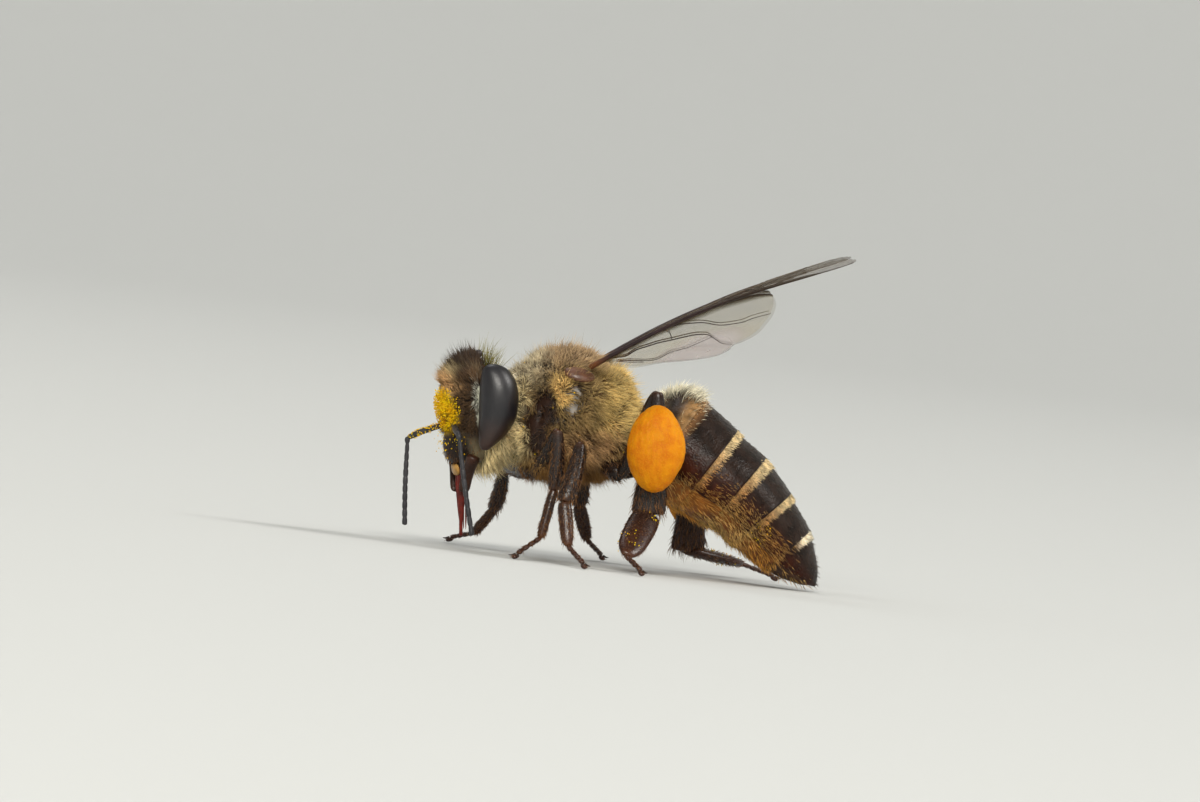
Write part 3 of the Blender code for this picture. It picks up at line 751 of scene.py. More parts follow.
def body_skin():
    """One skin over head, neck, thorax and waist, with its sutures pressed in."""
    turn = Matrix((CHEEK, FACE, UP)).transposed()
    balls = [(at_head(*row[:3]), row[3:], turn) for row in HEAD_BALLS]
    balls += [(Vector(row[:3]), row[3:], Matrix.Identity(3)) for row in THORAX_BALLS]
    skin = moulded("body_skin", balls, SKIN_GRAIN, SKIN_SOFTENING)

    def face(path):
        return [tuple(at_head(*point)) for point in path]

    arch = [(-0.42, 0.62, -1.30), (-0.40, 0.70, -0.80), (-0.22, 0.78, -0.48), (0.0, 0.80, -0.42),
            (0.22, 0.78, -0.48), (0.40, 0.70, -0.80), (0.42, 0.62, -1.30)]
    grooves = [  # path, width, depth
        (face(arch), 0.045, 0.045),
        (face([(0.0, 0.84, -0.35), (0.0, 0.80, 0.30), (0.0, 0.50, 0.95)]), 0.04, 0.03),
        ([(-0.85, 0.32, 4.62), (0.0, 0.22, 4.98), (0.85, 0.32, 4.62)], 0.06, 0.07),
        ([(0.0, -1.55, 4.95), (0.0, -0.70, 5.18), (0.0, 0.0, 5.06)], 0.04, 0.03),
    ]
    for side in SIDES.values():
        grooves += [
            ([(side * x, y, z) for x, y, z in path], width, depth) for path, width, depth in SIDE_SUTURES]
        grooves.append((face([(side * 0.26, 0.80, -0.36), (side * 0.262, 0.80, -0.37)]), 0.09, 0.10))
    carve(skin, grooves)
    points = points_of(skin)
    tints = body_tints(points) * 0.16 + np.array(linear(40, 28, 22)) * 0.6
    local = head_axes(points)
    dusty = spot(local, (0.0, 0.85, -0.1), (0.66, 0.5, 0.5), 0.3)
    tints = blend(tints, dusty * 0.8, scaled(tuple(colours().dust), 0.7))
    flanks = mirrored(points)
    # the side patches paint a shadow, a sheen and a brown patch on the skin
    for centre, halves, colour in SKIN_PATCHES:
        tints = blend(tints, spot(flanks, centre, halves, 0.3), linear(*colour))
    # pale strip along each eye's front edge: its short pale hairs, and in part a painted reflection
    margin = soft(np.abs(local[:, 1] - 0.37) / 0.05, 0.3) * (np.abs(local[:, 0]) > 1.0)
    margin = margin * soft(np.abs(local[:, 2] - 0.25) / 0.60, 0.3)
    tints = blend(tints, margin * on_head(points), linear(178, 178, 160))
    paint(skin, tints)
    finish = shell_finish("skin_shell", {"Roughness": 0.40, "Specular IOR Level": 0.22}, 0.05, 0.3)
    return settle(skin, finish, "coat", "head", "neck", "thorax", "waist")


# Eyes

EYE_ROWS = [  # up, front edge, rear edge, half across
    (1.12, 0.16, -0.04, 0.08),
    (1.07, 0.27, -0.20, 0.17),
    (0.96, 0.35, -0.37, 0.27),
    (0.82, 0.37, -0.46, 0.35),
    (0.68, 0.39, -0.54, 0.41),
    (0.50, 0.40, -0.58, 0.46),
    (0.30, 0.41, -0.60, 0.48),
    (0.10, 0.42, -0.60, 0.465),
    (-0.15, 0.42, -0.57, 0.42),
    (-0.40, 0.43, -0.47, 0.36),
    (-0.60, 0.44, -0.32, 0.30),
    (-0.80, 0.44, -0.11, 0.23),
    (-0.92, 0.42, 0.05, 0.17),
    (-1.00, 0.38, 0.15, 0.10),
    (-1.03, 0.34, 0.20, 0.06),
]
EYE_FACET = 0.034
OCELLI = ((0.0, 0.33, 1.27), (0.26, 0.08, 1.37), (-0.26, 0.08, 1.37))  # left, forward and up
OCELLUS_RADIUS = 0.10


def eye_finish():
    """Black glass over thousands of facets, browner low down."""
    finish = Finish("eye_facets", {"Specular IOR Level": 0.55})
    patches = finish.spread(finish.noise(0.25), 0.35, 0.65)
    uneven = finish.mix(patches, solid((0.8, 0.8, 0.8)), solid((1.2, 1.15, 1.1)))
    finish.feed("Base Color", finish.mix(1.0, finish.attribute("tint"), uneven, "MULTIPLY"))
    facets = finish.cells(EYE_FACET)
    finish.feed("Roughness", finish.spread(facets, 0.1, 0.6, 0.33, 0.41))
    finish.feed("Normal", finish.relief(facets, 0.005, 0.3))
    return finish.material


def eyes():
    """Two tall faceted eyes, straight in front and bulging behind, and three ocelli on top."""
    finish = eye_finish()
    for name, side in SIDES.items():
        profile = [
            (up, half, (front - rear) / 2, 0.0, (front + rear) / 2)
            for up, front, rear, half in reversed(EYE_ROWS)]
        eye = drawn_limb(f"{name}_eye", profile, sides=20, levels=2)
        turn = Matrix((CHEEK * side, FACE, UP)).transposed().to_4x4()
        eye.data.transform(Matrix.Translation(at_head(side * EYE_LEFT, 0.0, 0.0)) @ turn)
        if side < 0:
            tidy_normals(eye)
        up = head_axes(points_of(eye))[:, 2]
        low = np.clip((-0.15 - up) / 0.7, 0, 1)
        tints = np.tile(linear(20, 18, 23), (len(up), 1))
        paint(eye, blend(tints, low, linear(42, 20, 8)))
        settle(eye, finish, "eye", f"eye_{name}")
    beads = []
    for place in OCELLI:
        clear_choice()
        bpy.ops.mesh.primitive_uv_sphere_add(
            segments=24, ring_count=14, radius=OCELLUS_RADIUS, location=at_head(*place))
        bpy.ops.object.transform_apply(location=True, rotation=True, scale=True)
        beads.append(bpy.context.object)
    ocelli = join("ocelli", beads)
    paint(ocelli, np.tile(linear(40, 34, 34), (len(ocelli.data.vertices), 1)))
    settle(ocelli, finish, "eye")


# Mouthparts

GLOSSA_RINGS = 26


def mouthparts():
    """Labrum, two spoon-shaped jaws and the tongue in its sheath of galeae and palps."""
    horn = {"Roughness": 0.34, "Specular IOR Level": 0.3}
    plate = drawn_limb("labrum", [
        (0.0, 0.10, 0.03), (0.03, 0.24, 0.06), (0.14, 0.27, 0.07), (0.26, 0.24, 0.06), (0.31, 0.12, 0.03),
    ], sides=16)
    lay(plate, at_head(0.0, 0.64, -1.38), at_head(0.0, 0.52, -1.85), CHEEK)
    settle(plate, shell_finish("labrum_horn", horn, tint=linear(176, 132, 66)), "face")

    jaw_horn = shell_finish("jaw_horn", horn, tint=linear(50, 28, 18))
    for name, side in SIDES.items():
        base = Vector((side * 0.70, 0.36, -1.16))
        tip = Vector((side * 0.26, 0.48, -2.10))
        length = (tip - base).length
        jaw = drawn_limb(f"{name}_jaw", [
            (0.0, 0.14, 0.12), (0.06 * length, 0.20, 0.17), (0.35 * length, 0.15, 0.12, 0.0, 0.03),
            (0.65 * length, 0.15, 0.09, 0.0, 0.05), (0.92 * length, 0.17, 0.06, 0.0, 0.02),
            (length, 0.10, 0.03)], sides=14)
        lay(jaw, at_head(*base), at_head(*tip), FACE)
        settle(jaw, jaw_horn, "shell", f"mandible_{name}")

    base, tip = at_head(*TONGUE["base"]), at_head(*TONGUE["tip"])
    length = (tip - base).length
    parts = []
    for side in SIDES.values():
        galea = drawn_limb("galea", [
            (0.0, 0.06, 0.10, side * 0.08), (0.12, 0.08, 0.14, side * 0.08),
            (0.4 * length, 0.06, 0.11, side * 0.06), (0.7 * length, 0.04, 0.06, side * 0.04),
            (0.84 * length, 0.012, 0.02, side * 0.03)], sides=12)
        parts.append(lay(galea, base, tip, CHEEK))
        palp = drawn_limb("palp", [
            (0.0, 0.03, 0.04, side * 0.18, -0.08), (0.3 * length, 0.035, 0.045, side * 0.16, -0.10),
            (0.7 * length, 0.025, 0.03, side * 0.10, -0.10),
            (0.92 * length, 0.008, 0.01, side * 0.08, -0.10)], sides=8)
        parts.append(lay(palp, base, tip, CHEEK))
    glossa_profile = [(0.3, 0.04, 0.04)]
    for k in range(GLOSSA_RINGS):
        along = 0.35 + (length - 0.43) * k / (GLOSSA_RINGS - 1)
        half = 0.052 if k % 2 else 0.044
        glossa_profile.append((along, half, half))
    glossa_profile += [(length - 0.04, 0.05, 0.05), (length, 0.02, 0.02)]
    parts.append(lay(drawn_limb("glossa", glossa_profile, sides=10), base, tip, CHEEK))
    tongue = join("tongue", parts)
    local = head_axes(points_of(tongue))
    tints = np.tile(linear(112, 26, 14), (len(local), 1))
    tints = blend(tints, np.clip(np.abs(local[:, 0]) / 0.16, 0, 1) ** 2, linear(44, 18, 12))
    paint(tongue, tints)
    tongue_horn = shell_finish("tongue_horn", {"Roughness": 0.36, "Specular IOR Level": 0.3}, 0.04)
    settle(tongue, tongue_horn, "tongue", "proboscis")


# Feelers

FLAGELLUM_RINGS = 10


def feelers():
    """Each feeler: a long scape, a bead of a pedicel and ten ringed joints of the flagellum."""
    finish = shell_finish(
        "feeler_shell", {"Roughness": 0.42, "Specular IOR Level": 0.35}, 0.035, 0.3, tint=linear(48, 47, 50))
    for name in SIDES:
        socket, elbow, tip = (FEELERS[name][key] for key in ("socket", "elbow", "tip"))
        socket, elbow, tip = at_head(*socket), Vector(elbow), Vector(tip)
        length = (elbow - socket).length
        scape = drawn_limb(f"{name}_scape", [
            (0.0, 0.05, 0.05), (0.03, 0.095, 0.095), (0.09, 0.09, 0.09), (0.13, 0.055, 0.055),
            (0.2, 0.075, 0.075), (0.6 * length, 0.085, 0.08, 0.0, 0.03), (0.95 * length, 0.078, 0.075),
            (length, 0.045, 0.045)], sides=14)
        lay(scape, socket, elbow, LEFT)
        settle(scape, finish, "limb", f"antenna_scape_{name}")
        length = (tip - elbow).length
        profile = [(-0.03, 0.03, 0.03), (0.0, 0.065, 0.065), (0.07, 0.075, 0.075), (0.13, 0.05, 0.05)]
        pitch = (length - 0.16) / FLAGELLUM_RINGS
        for k in range(FLAGELLUM_RINGS):
            start = 0.16 + k * pitch
            half = 0.056 + 0.012 * min(1.0, k / 3)
            bow = 0.02 * math.sin(math.pi * k / FLAGELLUM_RINGS)
            for share, swell in ((0.0, 0.70), (0.14, 1.0), (0.86, 1.03)):
                profile.append((start + share * pitch, half * swell, half * swell, 0.0, bow))
        profile += [(length - 0.02, 0.06, 0.06), (length, 0.02, 0.02)]
        flagellum = drawn_limb(f"{name}_flagellum", profile, sides=14)
        lay(flagellum, elbow, tip, LEFT)
        settle(flagellum, finish, "limb", f"antenna_flagellum_{name}")


# Wings

TEGULA_HALF = (0.24, 0.40, 0.12)


def wing_axes(shape, side):
    """Root, spine and chord directions and the film's normal."""
    sweep, rise, droop = (math.radians(shape[key]) for key in ("sweep", "rise", "droop"))
    back = math.cos(sweep)
    spine = Vector((side * math.sin(sweep), back * math.cos(rise), back * math.sin(rise)))
    level = (side * LEFT - side * LEFT.dot(spine) * spine).normalized()
    below = side * spine.cross(level)
    chord = math.sin(droop) * below - math.cos(droop) * level
    x, y, z = shape["root"]
    return Vector((side * x, y, z)), spine, chord, side * spine.cross(chord).normalized()


def wing_point(shape, side, share, depth):
    """A point of the film, at a share of the length and of the chord: bowed, arched and pleated."""
    root, spine, chord, normal = wing_axes(shape, side)
    share, depth = float(share), float(depth)
    front, hind = (float(np.interp(share, shape["run"][:, 0], shape["run"][:, k])) for k in (1, 2))
    across = min(max((depth - front) / (hind - front), 0.0), 1.0)
    arch = WING_ARCH * (1.0 - 0.7 * share) * math.sin(math.pi * across)
    bow = shape["bow"] * math.sin(math.pi * share) + arch
    fan = math.atan2(depth * shape["chord"] + 0.4, share * shape["length"] + 0.6)
    pleat = shape["pleats"] * math.sin(fan * shape["folds"]) * min(1.0, across * 4.0)
    return root + share * shape["length"] * spine + depth * shape["chord"] * chord + (bow + pleat) * normal


def wing_film(name, shape, side):
    """The clear film: a grid shaped between the two edges and given its thickness."""
    clear_choice()
    bpy.ops.mesh.primitive_grid_add(x_subdivisions=90, y_subdivisions=48, size=1.0, location=(0, 0, 0))
    film = named(name)
    flat = points_of(film)
    shares = 0.9995 * np.sin((flat[:, 0] + 0.5) * math.pi / 2)  # closer together towards the tip
    front, hind = (np.interp(shares, shape["run"][:, 0], shape["run"][:, k]) for k in (1, 2))
    across = flat[:, 1] + 0.5
    depths = front + across * (hind - front)
    set_points(film, np.array([wing_point(shape, side, s, d) for s, d in zip(shares, depths)]))
    edge = np.exp(-(across * (hind - front) * shape["chord"] / 0.22) ** 2)
    # where the hind lobe gets its painted sheen
    lobe_sheen = soft(np.hypot((shares - 0.36) / 0.30, (depths - 0.80) / 0.34), 0.35)
    paint(film, np.column_stack([edge, lobe_sheen, np.zeros(len(lobe_sheen))]))
    apply_step(film, "SOLIDIFY", thickness=shape["thickness"], offset=0.0)
    tidy_normals(film)
    return film


def wing_veins(name, shape, side):
    """Tubes that stand proud of the film on both faces, thick at the front edge."""
    tubes = []
    for start, end, path in shape["veins"]:
        run = flow(path, 7)
        spots = [wing_point(shape, side, s, d) for s, d in run]
        curve = bpy.data.curves.new("vein", "CURVE")
        curve.dimensions = "3D"
        curve.bevel_depth, curve.bevel_resolution, curve.use_fill_caps = 1.0, 1, True
        line = curve.splines.new("POLY")
        line.points.add(len(spots) - 1)
        for k, (point, place) in enumerate(zip(line.points, spots)):
            point.co = (*place, 1.0)
            point.radius = (start + (end - start) * k / (len(spots) - 1)) * shape["vein"]
        tube = bpy.data.objects.new("vein", curve)
        bpy.context.scene.collection.objects.link(tube)
        pick(tube)
        bpy.ops.object.convert(target="MESH")
        tubes.append(bpy.context.object)
    made = join(name, tubes)
    tidy_normals(made)
    return made


def film_finish(name, tint, lobe_sheen_tint, veil):
    """Clear film with a faint tint, dense along the front edge, and paler and less clear in the hind lobe as
    a painted sheen.

    The film's paint says where: its red is the front edge and its green the hind lobe's painted sheen.
    """
    finish = Finish(name, {"Specular IOR Level": 0.2})
    marks = finish.add("SeparateColor", {"Color": finish.attribute("tint")}).outputs
    edge, lobe_sheen = marks["Red"], marks["Green"]
    patches = finish.spread(finish.noise(0.9), 0.35, 0.65)
    clear = finish.mix(patches, solid(scaled(tint, 0.75)), solid(tint))
    clear = finish.mix(lobe_sheen, clear, solid(lobe_sheen_tint))
    finish.feed("Base Color", finish.mix(edge, clear, solid(linear(50, 36, 26))))
    lobe_sheen_cover = finish.add("Math", {0: lobe_sheen, 1: 0.24}, operation="MULTIPLY").outputs[0]
    veiled = finish.add("Math", {0: lobe_sheen_cover, 1: veil}, operation="ADD").outputs[0]
    dense = finish.add("Math", {0: edge, 1: 0.94}, operation="MULTIPLY").outputs[0]
    finish.feed("Alpha", finish.add("Math", {0: veiled, 1: dense}, operation="MAXIMUM").outputs[0])
    specks = finish.spread(finish.cells(0.06), 0.1, 0.35, 1.0, 0.0)
    wrinkles = finish.relief(finish.noise(0.35, 2.0), 0.03, 0.6)
    finish.feed("Normal", finish.relief(specks, 0.006, 0.5, wrinkles))
    finish.feed("Roughness", finish.spread(finish.noise(0.2), 0.3, 0.7, 0.26, 0.46))
    return finish.material


def wings():
    """Two pairs of wings, each a film with its veins, and the scale over each forewing's root."""
    smoky = linear(92, 74, 46)
    films = {
        "fore": film_finish("forewing_film", smoky, smoky, 0.32),
        # the hindwing's lobe colour is a painted sheen of pale whitish grey
        "hind": film_finish("hindwing_film", tuple(colours().film), linear(206, 198, 196), 0.13),
    }
    veins = shell_finish("wing_veins", {"Roughness": 0.45, "Specular IOR Level": 0.3}, 0.05, 0.3)
    for pair, stated in WINGS.items():
        shape = dict(stated, run=flow(stated["rows"], 10))
        for name, side in SIDES.items():
            film = wing_film(f"{name}_{pair}wing_film", shape, side)
            settle(film, films[pair], "wing", f"{pair}wing_{name}")
            tubes = wing_veins(f"{name}_{pair}wing_veins", shape, side)
            away = np.linalg.norm(points_of(tubes) - np.array(wing_point(shape, side, 0, 0)), axis=1)
            tints = np.tile(linear(46, 32, 34), (len(away), 1))
            tints = blend(tints, np.clip(1.0 - away / 0.8, 0, 1), linear(120, 70, 34))
            tints = blend(tints, np.clip((away - 3.5) / 3.5, 0, 1), linear(52, 42, 24))
            paint(tubes, tints)
            settle(tubes, veins, "wing")
    for name, side in SIDES.items():
        clear_choice()
        bpy.ops.mesh.primitive_uv_sphere_add(segments=36, ring_count=20, radius=1.0, location=(0, 0, 0))
        tegula = named(f"{name}_tegula")
        turn = Matrix.Rotation(side * math.radians(38), 4, "Y") @ Matrix.Rotation(math.radians(-8), 4, "X")
        place = Matrix.Translation((side * 1.36, -0.34, 4.72))
        tegula.data.transform(place @ turn @ Matrix.Diagonal((*TEGULA_HALF, 1.0)))
        scale_shell = shell_finish(f"{name}_tegula_shell", {"Roughness": 0.38}, 0.05, tint=linear(84, 52, 34))
        settle(tegula, scale_shell, "shell")


# Abdomen

ABDOMEN_STEPS = 8  # sections from one ring to the next
ABDOMEN_RUN = flow(ABDOMEN_ROWS, ABDOMEN_STEPS)


def ring_row(place, inset):
    """Centre, outward direction and halves of the abdomen's section at a place counted in rings."""
    rows = ABDOMEN_RUN
    k = min(max(place * ABDOMEN_STEPS, 0.0), len(rows) - 1.001)
    low = int(k)
    here = rows[low] + (k - low) * (rows[low + 1] - rows[low])
    slope = rows[min(low + 2, len(rows) - 1)] - rows[max(low - 1, 0)]
    tangent = Vector((0.0, slope[0], slope[1])).normalized()
    half_wide, half_thick = (max(here[k] - inset, 0.02) for k in (2, 3))
    return Vector((0.0, here[0], here[1])), LEFT.cross(tangent), half_wide, half_thick


def ring_point(place, angle, inset):
    """A point of the abdomen: 0 degrees is her left side, 90 her back."""
    centre, outward, half_wide, half_thick = ring_row(min(place, SEGMENT_SPANS[-1][1] - 0.001), inset)
    power = 2.0 / SECTION_POWER
    c, s = math.cos(math.radians(angle)), math.sin(math.radians(angle))
    x = math.copysign(abs(c) ** power, c) * float(half_wide)
    y = math.copysign(abs(s) ** power, s) * float(half_thick)
    return centre + x * LEFT + y * outward


def abdomen_places(number):
    """Where a segment's plates begin, tucked under the one before, and where they end."""
    first, last = SEGMENT_SPANS[number]
    tuck = 0.0 if number == 0 else 0.22 * (1.0 if number < LAST_SEGMENT else 1.6)
    return first - tuck, float(last)


def back_plate(number):
    """A tergite: a bowed grid from under the plate before it to its free hind edge, with its thickness."""
    first, last = abdomen_places(number)
    clear_choice()
    bpy.ops.mesh.primitive_grid_add(x_subdivisions=72, y_subdivisions=22, size=1.0, location=(0, 0, 0))
    plate = named(f"back_plate_{number + 1}")
    low, high = PLATE_EDGES
    spots, tints = [], []
    shell = np.array(colours().shell)
    for x, y, _ in points_of(plate):
        share = y + 0.5
        angle = low + (x + 0.5) * (high - low)
        place = first + share * (last - first)
        edge = min(angle - low, high - angle)
        if number == LAST_SEGMENT:
            lift = 0.10 - 0.03 * share
        else:
            lift = 0.10 - 0.055 * share - 0.012 * math.exp(-((share - 1.0) / 0.05) ** 2)
            lift += 0.03 * math.exp(-(edge / 5.0) ** 2)
        spots.append(ring_point(place, angle, lift))
        side = max(0.0, min(1.0, (44.0 - edge) / 30.0))
        front = max(0.0, min(1.0, (0.40 - share) / 0.16))
        colour = shell + side * (np.array(linear(50, 18, 5)) - shell)
        if number == 0:
            patch = math.exp(-((share - 0.62) / 0.26) ** 4)
            tan = np.array(linear(134, 102, 64))
            colour = tan + patch * (np.array(linear(44, 34, 28)) - tan)
        elif number == 1:
            colour = colour + front * (np.array(linear(112, 80, 50)) - colour)
        else:
            under = max(0.0, min(1.0, (SEGMENT_SPANS[number][0] + 0.14 - place) / 0.05))
            under *= max(0.0, min(1.0, (edge - BAND_CLEAR[number]) / 30.0))
            colour = colour + under * (np.array(linear(160, 128, 84)) - colour)
        tints.append(colour)
    set_points(plate, np.array(spots))
    apply_step(plate, "SOLIDIFY", thickness=PLATE_THICKNESS, offset=-1.0)
    tidy_normals(plate)
    paint(plate, np.array(tints * 2))  # the outer face's points, then the inner face's
    return plate


def belly_ring(number):
    """The closed ring under a back plate, which shows as the belly's plate."""
    first, last = abdomen_places(number)
    clear_choice()
    bpy.ops.mesh.primitive_cylinder_add(
        vertices=56, radius=1.0, depth=1.0, end_fill_type="NGON", location=(0, 0, 0))
    ring = named(f"belly_plate_{number + 1}")
    bpy.ops.object.mode_set(mode="EDIT")
    work = bmesh.from_edit_mesh(ring.data)
    uprights = [edge for edge in work.edges if abs(edge.verts[0].co.z - edge.verts[1].co.z) > 0.5]
    bmesh.ops.subdivide_edges(work, edges=uprights, cuts=11, use_grid_fill=True)
    bmesh.update_edit_mesh(ring.data)
    bpy.ops.object.mode_set(mode="OBJECT")
    spots = []
    for x, y, z in points_of(ring):
        share = z + 0.5
        angle = math.degrees(math.atan2(y, x))
        place = first + share * (last - first)
        inset = 0.15 - 0.05 * share if number == LAST_SEGMENT else 0.17 - 0.06 * share
        spots.append(ring_point(place, angle, inset))
    set_points(ring, np.array(spots))
    tidy_normals(ring)
    points = points_of(ring)
    tints = np.tile(linear(150, 92, 34), (len(points), 1))
    tints = blend(tints, 0.5 + 0.5 * ripple(points, 0.8, 40 + number), linear(104, 60, 26))
    if number == LAST_SEGMENT:
        tints = blend(tints, np.full(len(points), 0.8), linear(44, 32, 26))
    paint(ring, tints)
    return ring


def abdomen():
    """Six back plates that overlap like roof tiles, over six rings that form the belly."""
    polish = {"Roughness": 0.32, "Specular IOR Level": 0.13}
    back = shell_finish("back_plate_shell", polish, 0.05, 0.45, 0.012)
    belly = shell_finish("belly_shell", {"Roughness": 0.45, "Specular IOR Level": 0.2}, 0.05, 0.3)
    for number in range(len(SEGMENT_SPANS)):
        settle(back_plate(number), back, "shell")
        settle(belly_ring(number), belly, "shell", f"abdomen_{number + 1}")


# Legs

TOE_JOINTS = 4


def leg_axes(place):
    """The leg's joints and the direction in which each length is broad."""
    root, hip, knee, ankle, heel, toe = (Vector(p) for p in LEGS[place])
    across = (toe - heel).cross(Vector((0, 0, 1)))
    joints = {
        "coxa": (root, hip), "femur": (hip, knee), "tibia": (knee, ankle), "metatarsus": (ankle, heel),
        "toes": (heel, toe),
    }
    ahead = Vector((0, 1, 0))
    flat = across if place.startswith("hind") else ahead
    broad = {"coxa": ahead, "femur": ahead, "tibia": ahead, "metatarsus": flat, "toes": across}
    return joints, broad


def leg_tints(piece, place):
    """Dark brown, redder low down, with amber at the joints."""
    points = points_of(piece)
    tints = np.tile(linear(34, 23, 18), (len(points), 1))
    low = np.clip((1.7 - points[:, 2]) / 1.2, 0, 1)
    tints = blend(tints, low * 0.8, linear(62, 33, 21))
    for joint in LEGS[place][2:5]:
        near = np.exp(-(np.linalg.norm(points - np.array(joint), axis=1) / 0.12) ** 2)
        tints = blend(tints, near * 0.5, linear(104, 62, 34))
    return tints


def one_leg(place, shell, horn):
    """A leg's five lengths with trochanter, spur, toe joints, pad and two claws."""
    pair = place.split("_")[0]
    joints, broad = leg_axes(place)
    for part, shape in LEG_SHAPES[pair].items():
        start, end = joints[part]
        length = (end - start).length
        bow = 0.05 if part in ("femur", "tibia") else 0.0
        profile = []
        for share, half_wide, half_thick in flow(shape, 3):
            share = min(max(share, -0.01), 1.01)
            profile.append((share * length, half_wide, half_thick, bow * math.sin(math.pi * share), 0.0))
        limb = lay(drawn_limb(f"{part}_{place}_shell", profile, sides=14), start, end, broad[part])
        parts = [limb]
        if part == "femur":
            knob = drawn_limb("trochanter", [
                (0.0, 0.06, 0.06), (0.05, 0.13, 0.13), (0.2, 0.12, 0.12), (0.26, 0.06, 0.06)], sides=12)
            parts.append(lay(knob, start, end, broad[part]))
        if part == "tibia" and pair != "hind":
            spur = drawn_limb("spur", [
                (0.0, 0.035, 0.035), (0.15, 0.03, 0.03), (0.34, 0.008, 0.008)], sides=8)
            onward = (end - start).normalized()
            parts.append(lay(spur, end - 0.1 * onward, end + onward + 0.5 * Vector((0, 1, 0)), LEFT))
        limb = join(f"{part}_{place}_shell", parts)
        paint(limb, leg_tints(limb, place))
        settle(limb, shell, "limb", f"{part}_{place}")
    heel, toe = joints["toes"]
    run = toe - heel
    parts = []
    for k in range(TOE_JOINTS):
        start = heel + run * (k / TOE_JOINTS * 0.92 - 0.02)
        end = heel + run * ((k + 1) / TOE_JOINTS * 0.92 + 0.02)
        length = (end - start).length
        flare = 0.10 if k < TOE_JOINTS - 1 else 0.09
        bead = drawn_limb("toe", [
            (0.0, 0.03, 0.03), (0.1 * length, 0.055, 0.05), (0.75 * length, flare, 0.07),
            (length, 0.04, 0.035)], sides=12)
        parts.append(lay(bead, start, end, broad["toes"]))
    forward = Vector((run.x, run.y, 0.0)).normalized()
    across = forward.cross(Vector((0, 0, 1)))
    pad_start = toe - 0.12 * forward + Vector((0, 0, -0.02))
    pad = drawn_limb("pad", [
        (0.0, 0.03, 0.03), (0.06, 0.07, 0.055), (0.16, 0.09, 0.06), (0.23, 0.05, 0.04)], sides=12)
    pad_end = pad_start + forward - Vector((0, 0, 0.30))
    parts.append(lay(pad, pad_start, pad_end, across))
    foot = join(f"toes_{place}_shell", parts)
    rest_on_floor(foot)
    paint(foot, leg_tints(foot, place))
    settle(foot, shell, "limb", f"toes_{place}")
    claws = []
    for side in SIDES.values():
        claw = drawn_limb("claw", [
            (0.0, 0.030, 0.030), (0.07, 0.028, 0.028, 0.0, 0.012), (0.14, 0.020, 0.020, 0.0, 0.005),
            (0.20, 0.006, 0.006, 0.0, -0.03)], sides=8)
        start = toe + 0.04 * side * across - 0.04 * forward + Vector((0, 0, 0.02))
        end = start + forward + 0.55 * side * across - Vector((0, 0, 0.45))
        claws.append(lay(claw, start, end, across))
    hooks = join(f"claws_{place}", claws)
    rest_on_floor(hooks)
    settle(hooks, horn, "limb")


def rest_on_floor(piece):
    """Flattens what would reach under the floor on to it, as a foot's weight does."""
    points = points_of(piece)
    points[:, 2] = np.maximum(points[:, 2], 0.001)
    set_points(piece, points)


def legs():
    """Six legs, dark and polished, with claws of horn."""
    shell = shell_finish("leg_shell", {"Roughness": 0.26, "Specular IOR Level": 0.34}, 0.045, 0.25, 0.006)
    horn = shell_finish("claw_horn", {"Roughness": 0.3}, 0.03, 0.2, tint=linear(44, 28, 20))
    for place in LEGS:
        one_leg(place, shell, horn)


# Pollen

def pollen_finish(name, colour):
    """Moist packed grains: waxy, slightly see-through, mottled from grain to grain."""
    finish = Finish(name, {
        "Subsurface Weight": 0.25, "Subsurface Scale": 0.12 * MM, "Specular IOR Level": 0.14})
    finish.shader.inputs["Subsurface Radius"].default_value = (1.0, 0.45, 0.15)
    grains = finish.spread(finish.cells(0.045), 0.0, 0.7, 1.0, 0.0)
    lumps = finish.spread(finish.noise(0.35), 0.35, 0.65)
    red, green, blue = colour
    deep = finish.mix(lumps, solid((red * 0.86, green * 0.66, blue * 0.6)), solid(colour))
    crumbs = finish.spread(grains, 0.0, 1.0, 0.0, 0.35)
    pale = solid((min(1.0, red * 1.05), green * 1.25, blue * 1.8))
    finish.feed("Base Color", finish.mix(crumbs, deep, pale))
    finish.feed("Roughness", finish.spread(finish.noise(0.08), 0.3, 0.7, 0.45, 0.7))
    finish.feed("Normal", finish.relief(grains, 0.012, 0.6))
    return finish.material


def pollen_loads():
    """A smooth lump of packed pollen on the outer face of each hind shin, grainy all over."""
    finish = pollen_finish("packed_pollen", tuple(colours().pollen))
    for name, side in SIDES.items():
        joints, _ = leg_axes(f"hind_{name}")
        knee, ankle = joints["tibia"]
        axis = (ankle - knee).normalized()
        outward = (side * LEFT - (side * LEFT).dot(axis) * axis).normalized()
        across = axis.cross(outward)
        centre = knee.lerp(ankle, POLLEN_SHARE) + POLLEN_OUT * outward
        centre = centre + 0.06 * Vector((0, 1, 0)) + 0.07 * axis
        clear_choice()
        bpy.ops.mesh.primitive_ico_sphere_add(subdivisions=6, radius=1.0, location=(0, 0, 0))
        load = named(f"{name}_pollen_load")
        points = points_of(load)
        down = points[:, 2]
        lumps = 0.020 * ripple(points, 0.7, 11 + side) + 0.012 * ripple(points, 0.3, 21 + side)
        grains = 0.006 * ripple(points, 0.075, 31 + side) + 0.004 * ripple(points, 0.045, 41 + side)
        swell = 1.0 + 0.05 * np.cos(down * 2.4 + 0.5)
        shaped = points * np.array(POLLEN_HALF) * 0.985
        shaped[:, :2] *= (swell - 0.07 * np.clip(down, 0, 1) ** 2)[:, None] * 0.965
        shaped += points * (lumps + grains)[:, None]
        turn = Matrix((across, outward, axis)).transposed().to_4x4()
        set_points(load, shaped)
        load.data.transform(Matrix.Translation(centre) @ turn)
        tidy_normals(load)
        settle(load, finish, "pollen", f"pollen_load_{name}")


# Hair

HAIR_SINK = 0.015  # how deep a root stands in the skin
HAIR_PATCH = 0.003  # each hair's own patch of the bake map
HAIR_CLEAR = 0.002  # how far hair stays above the floor


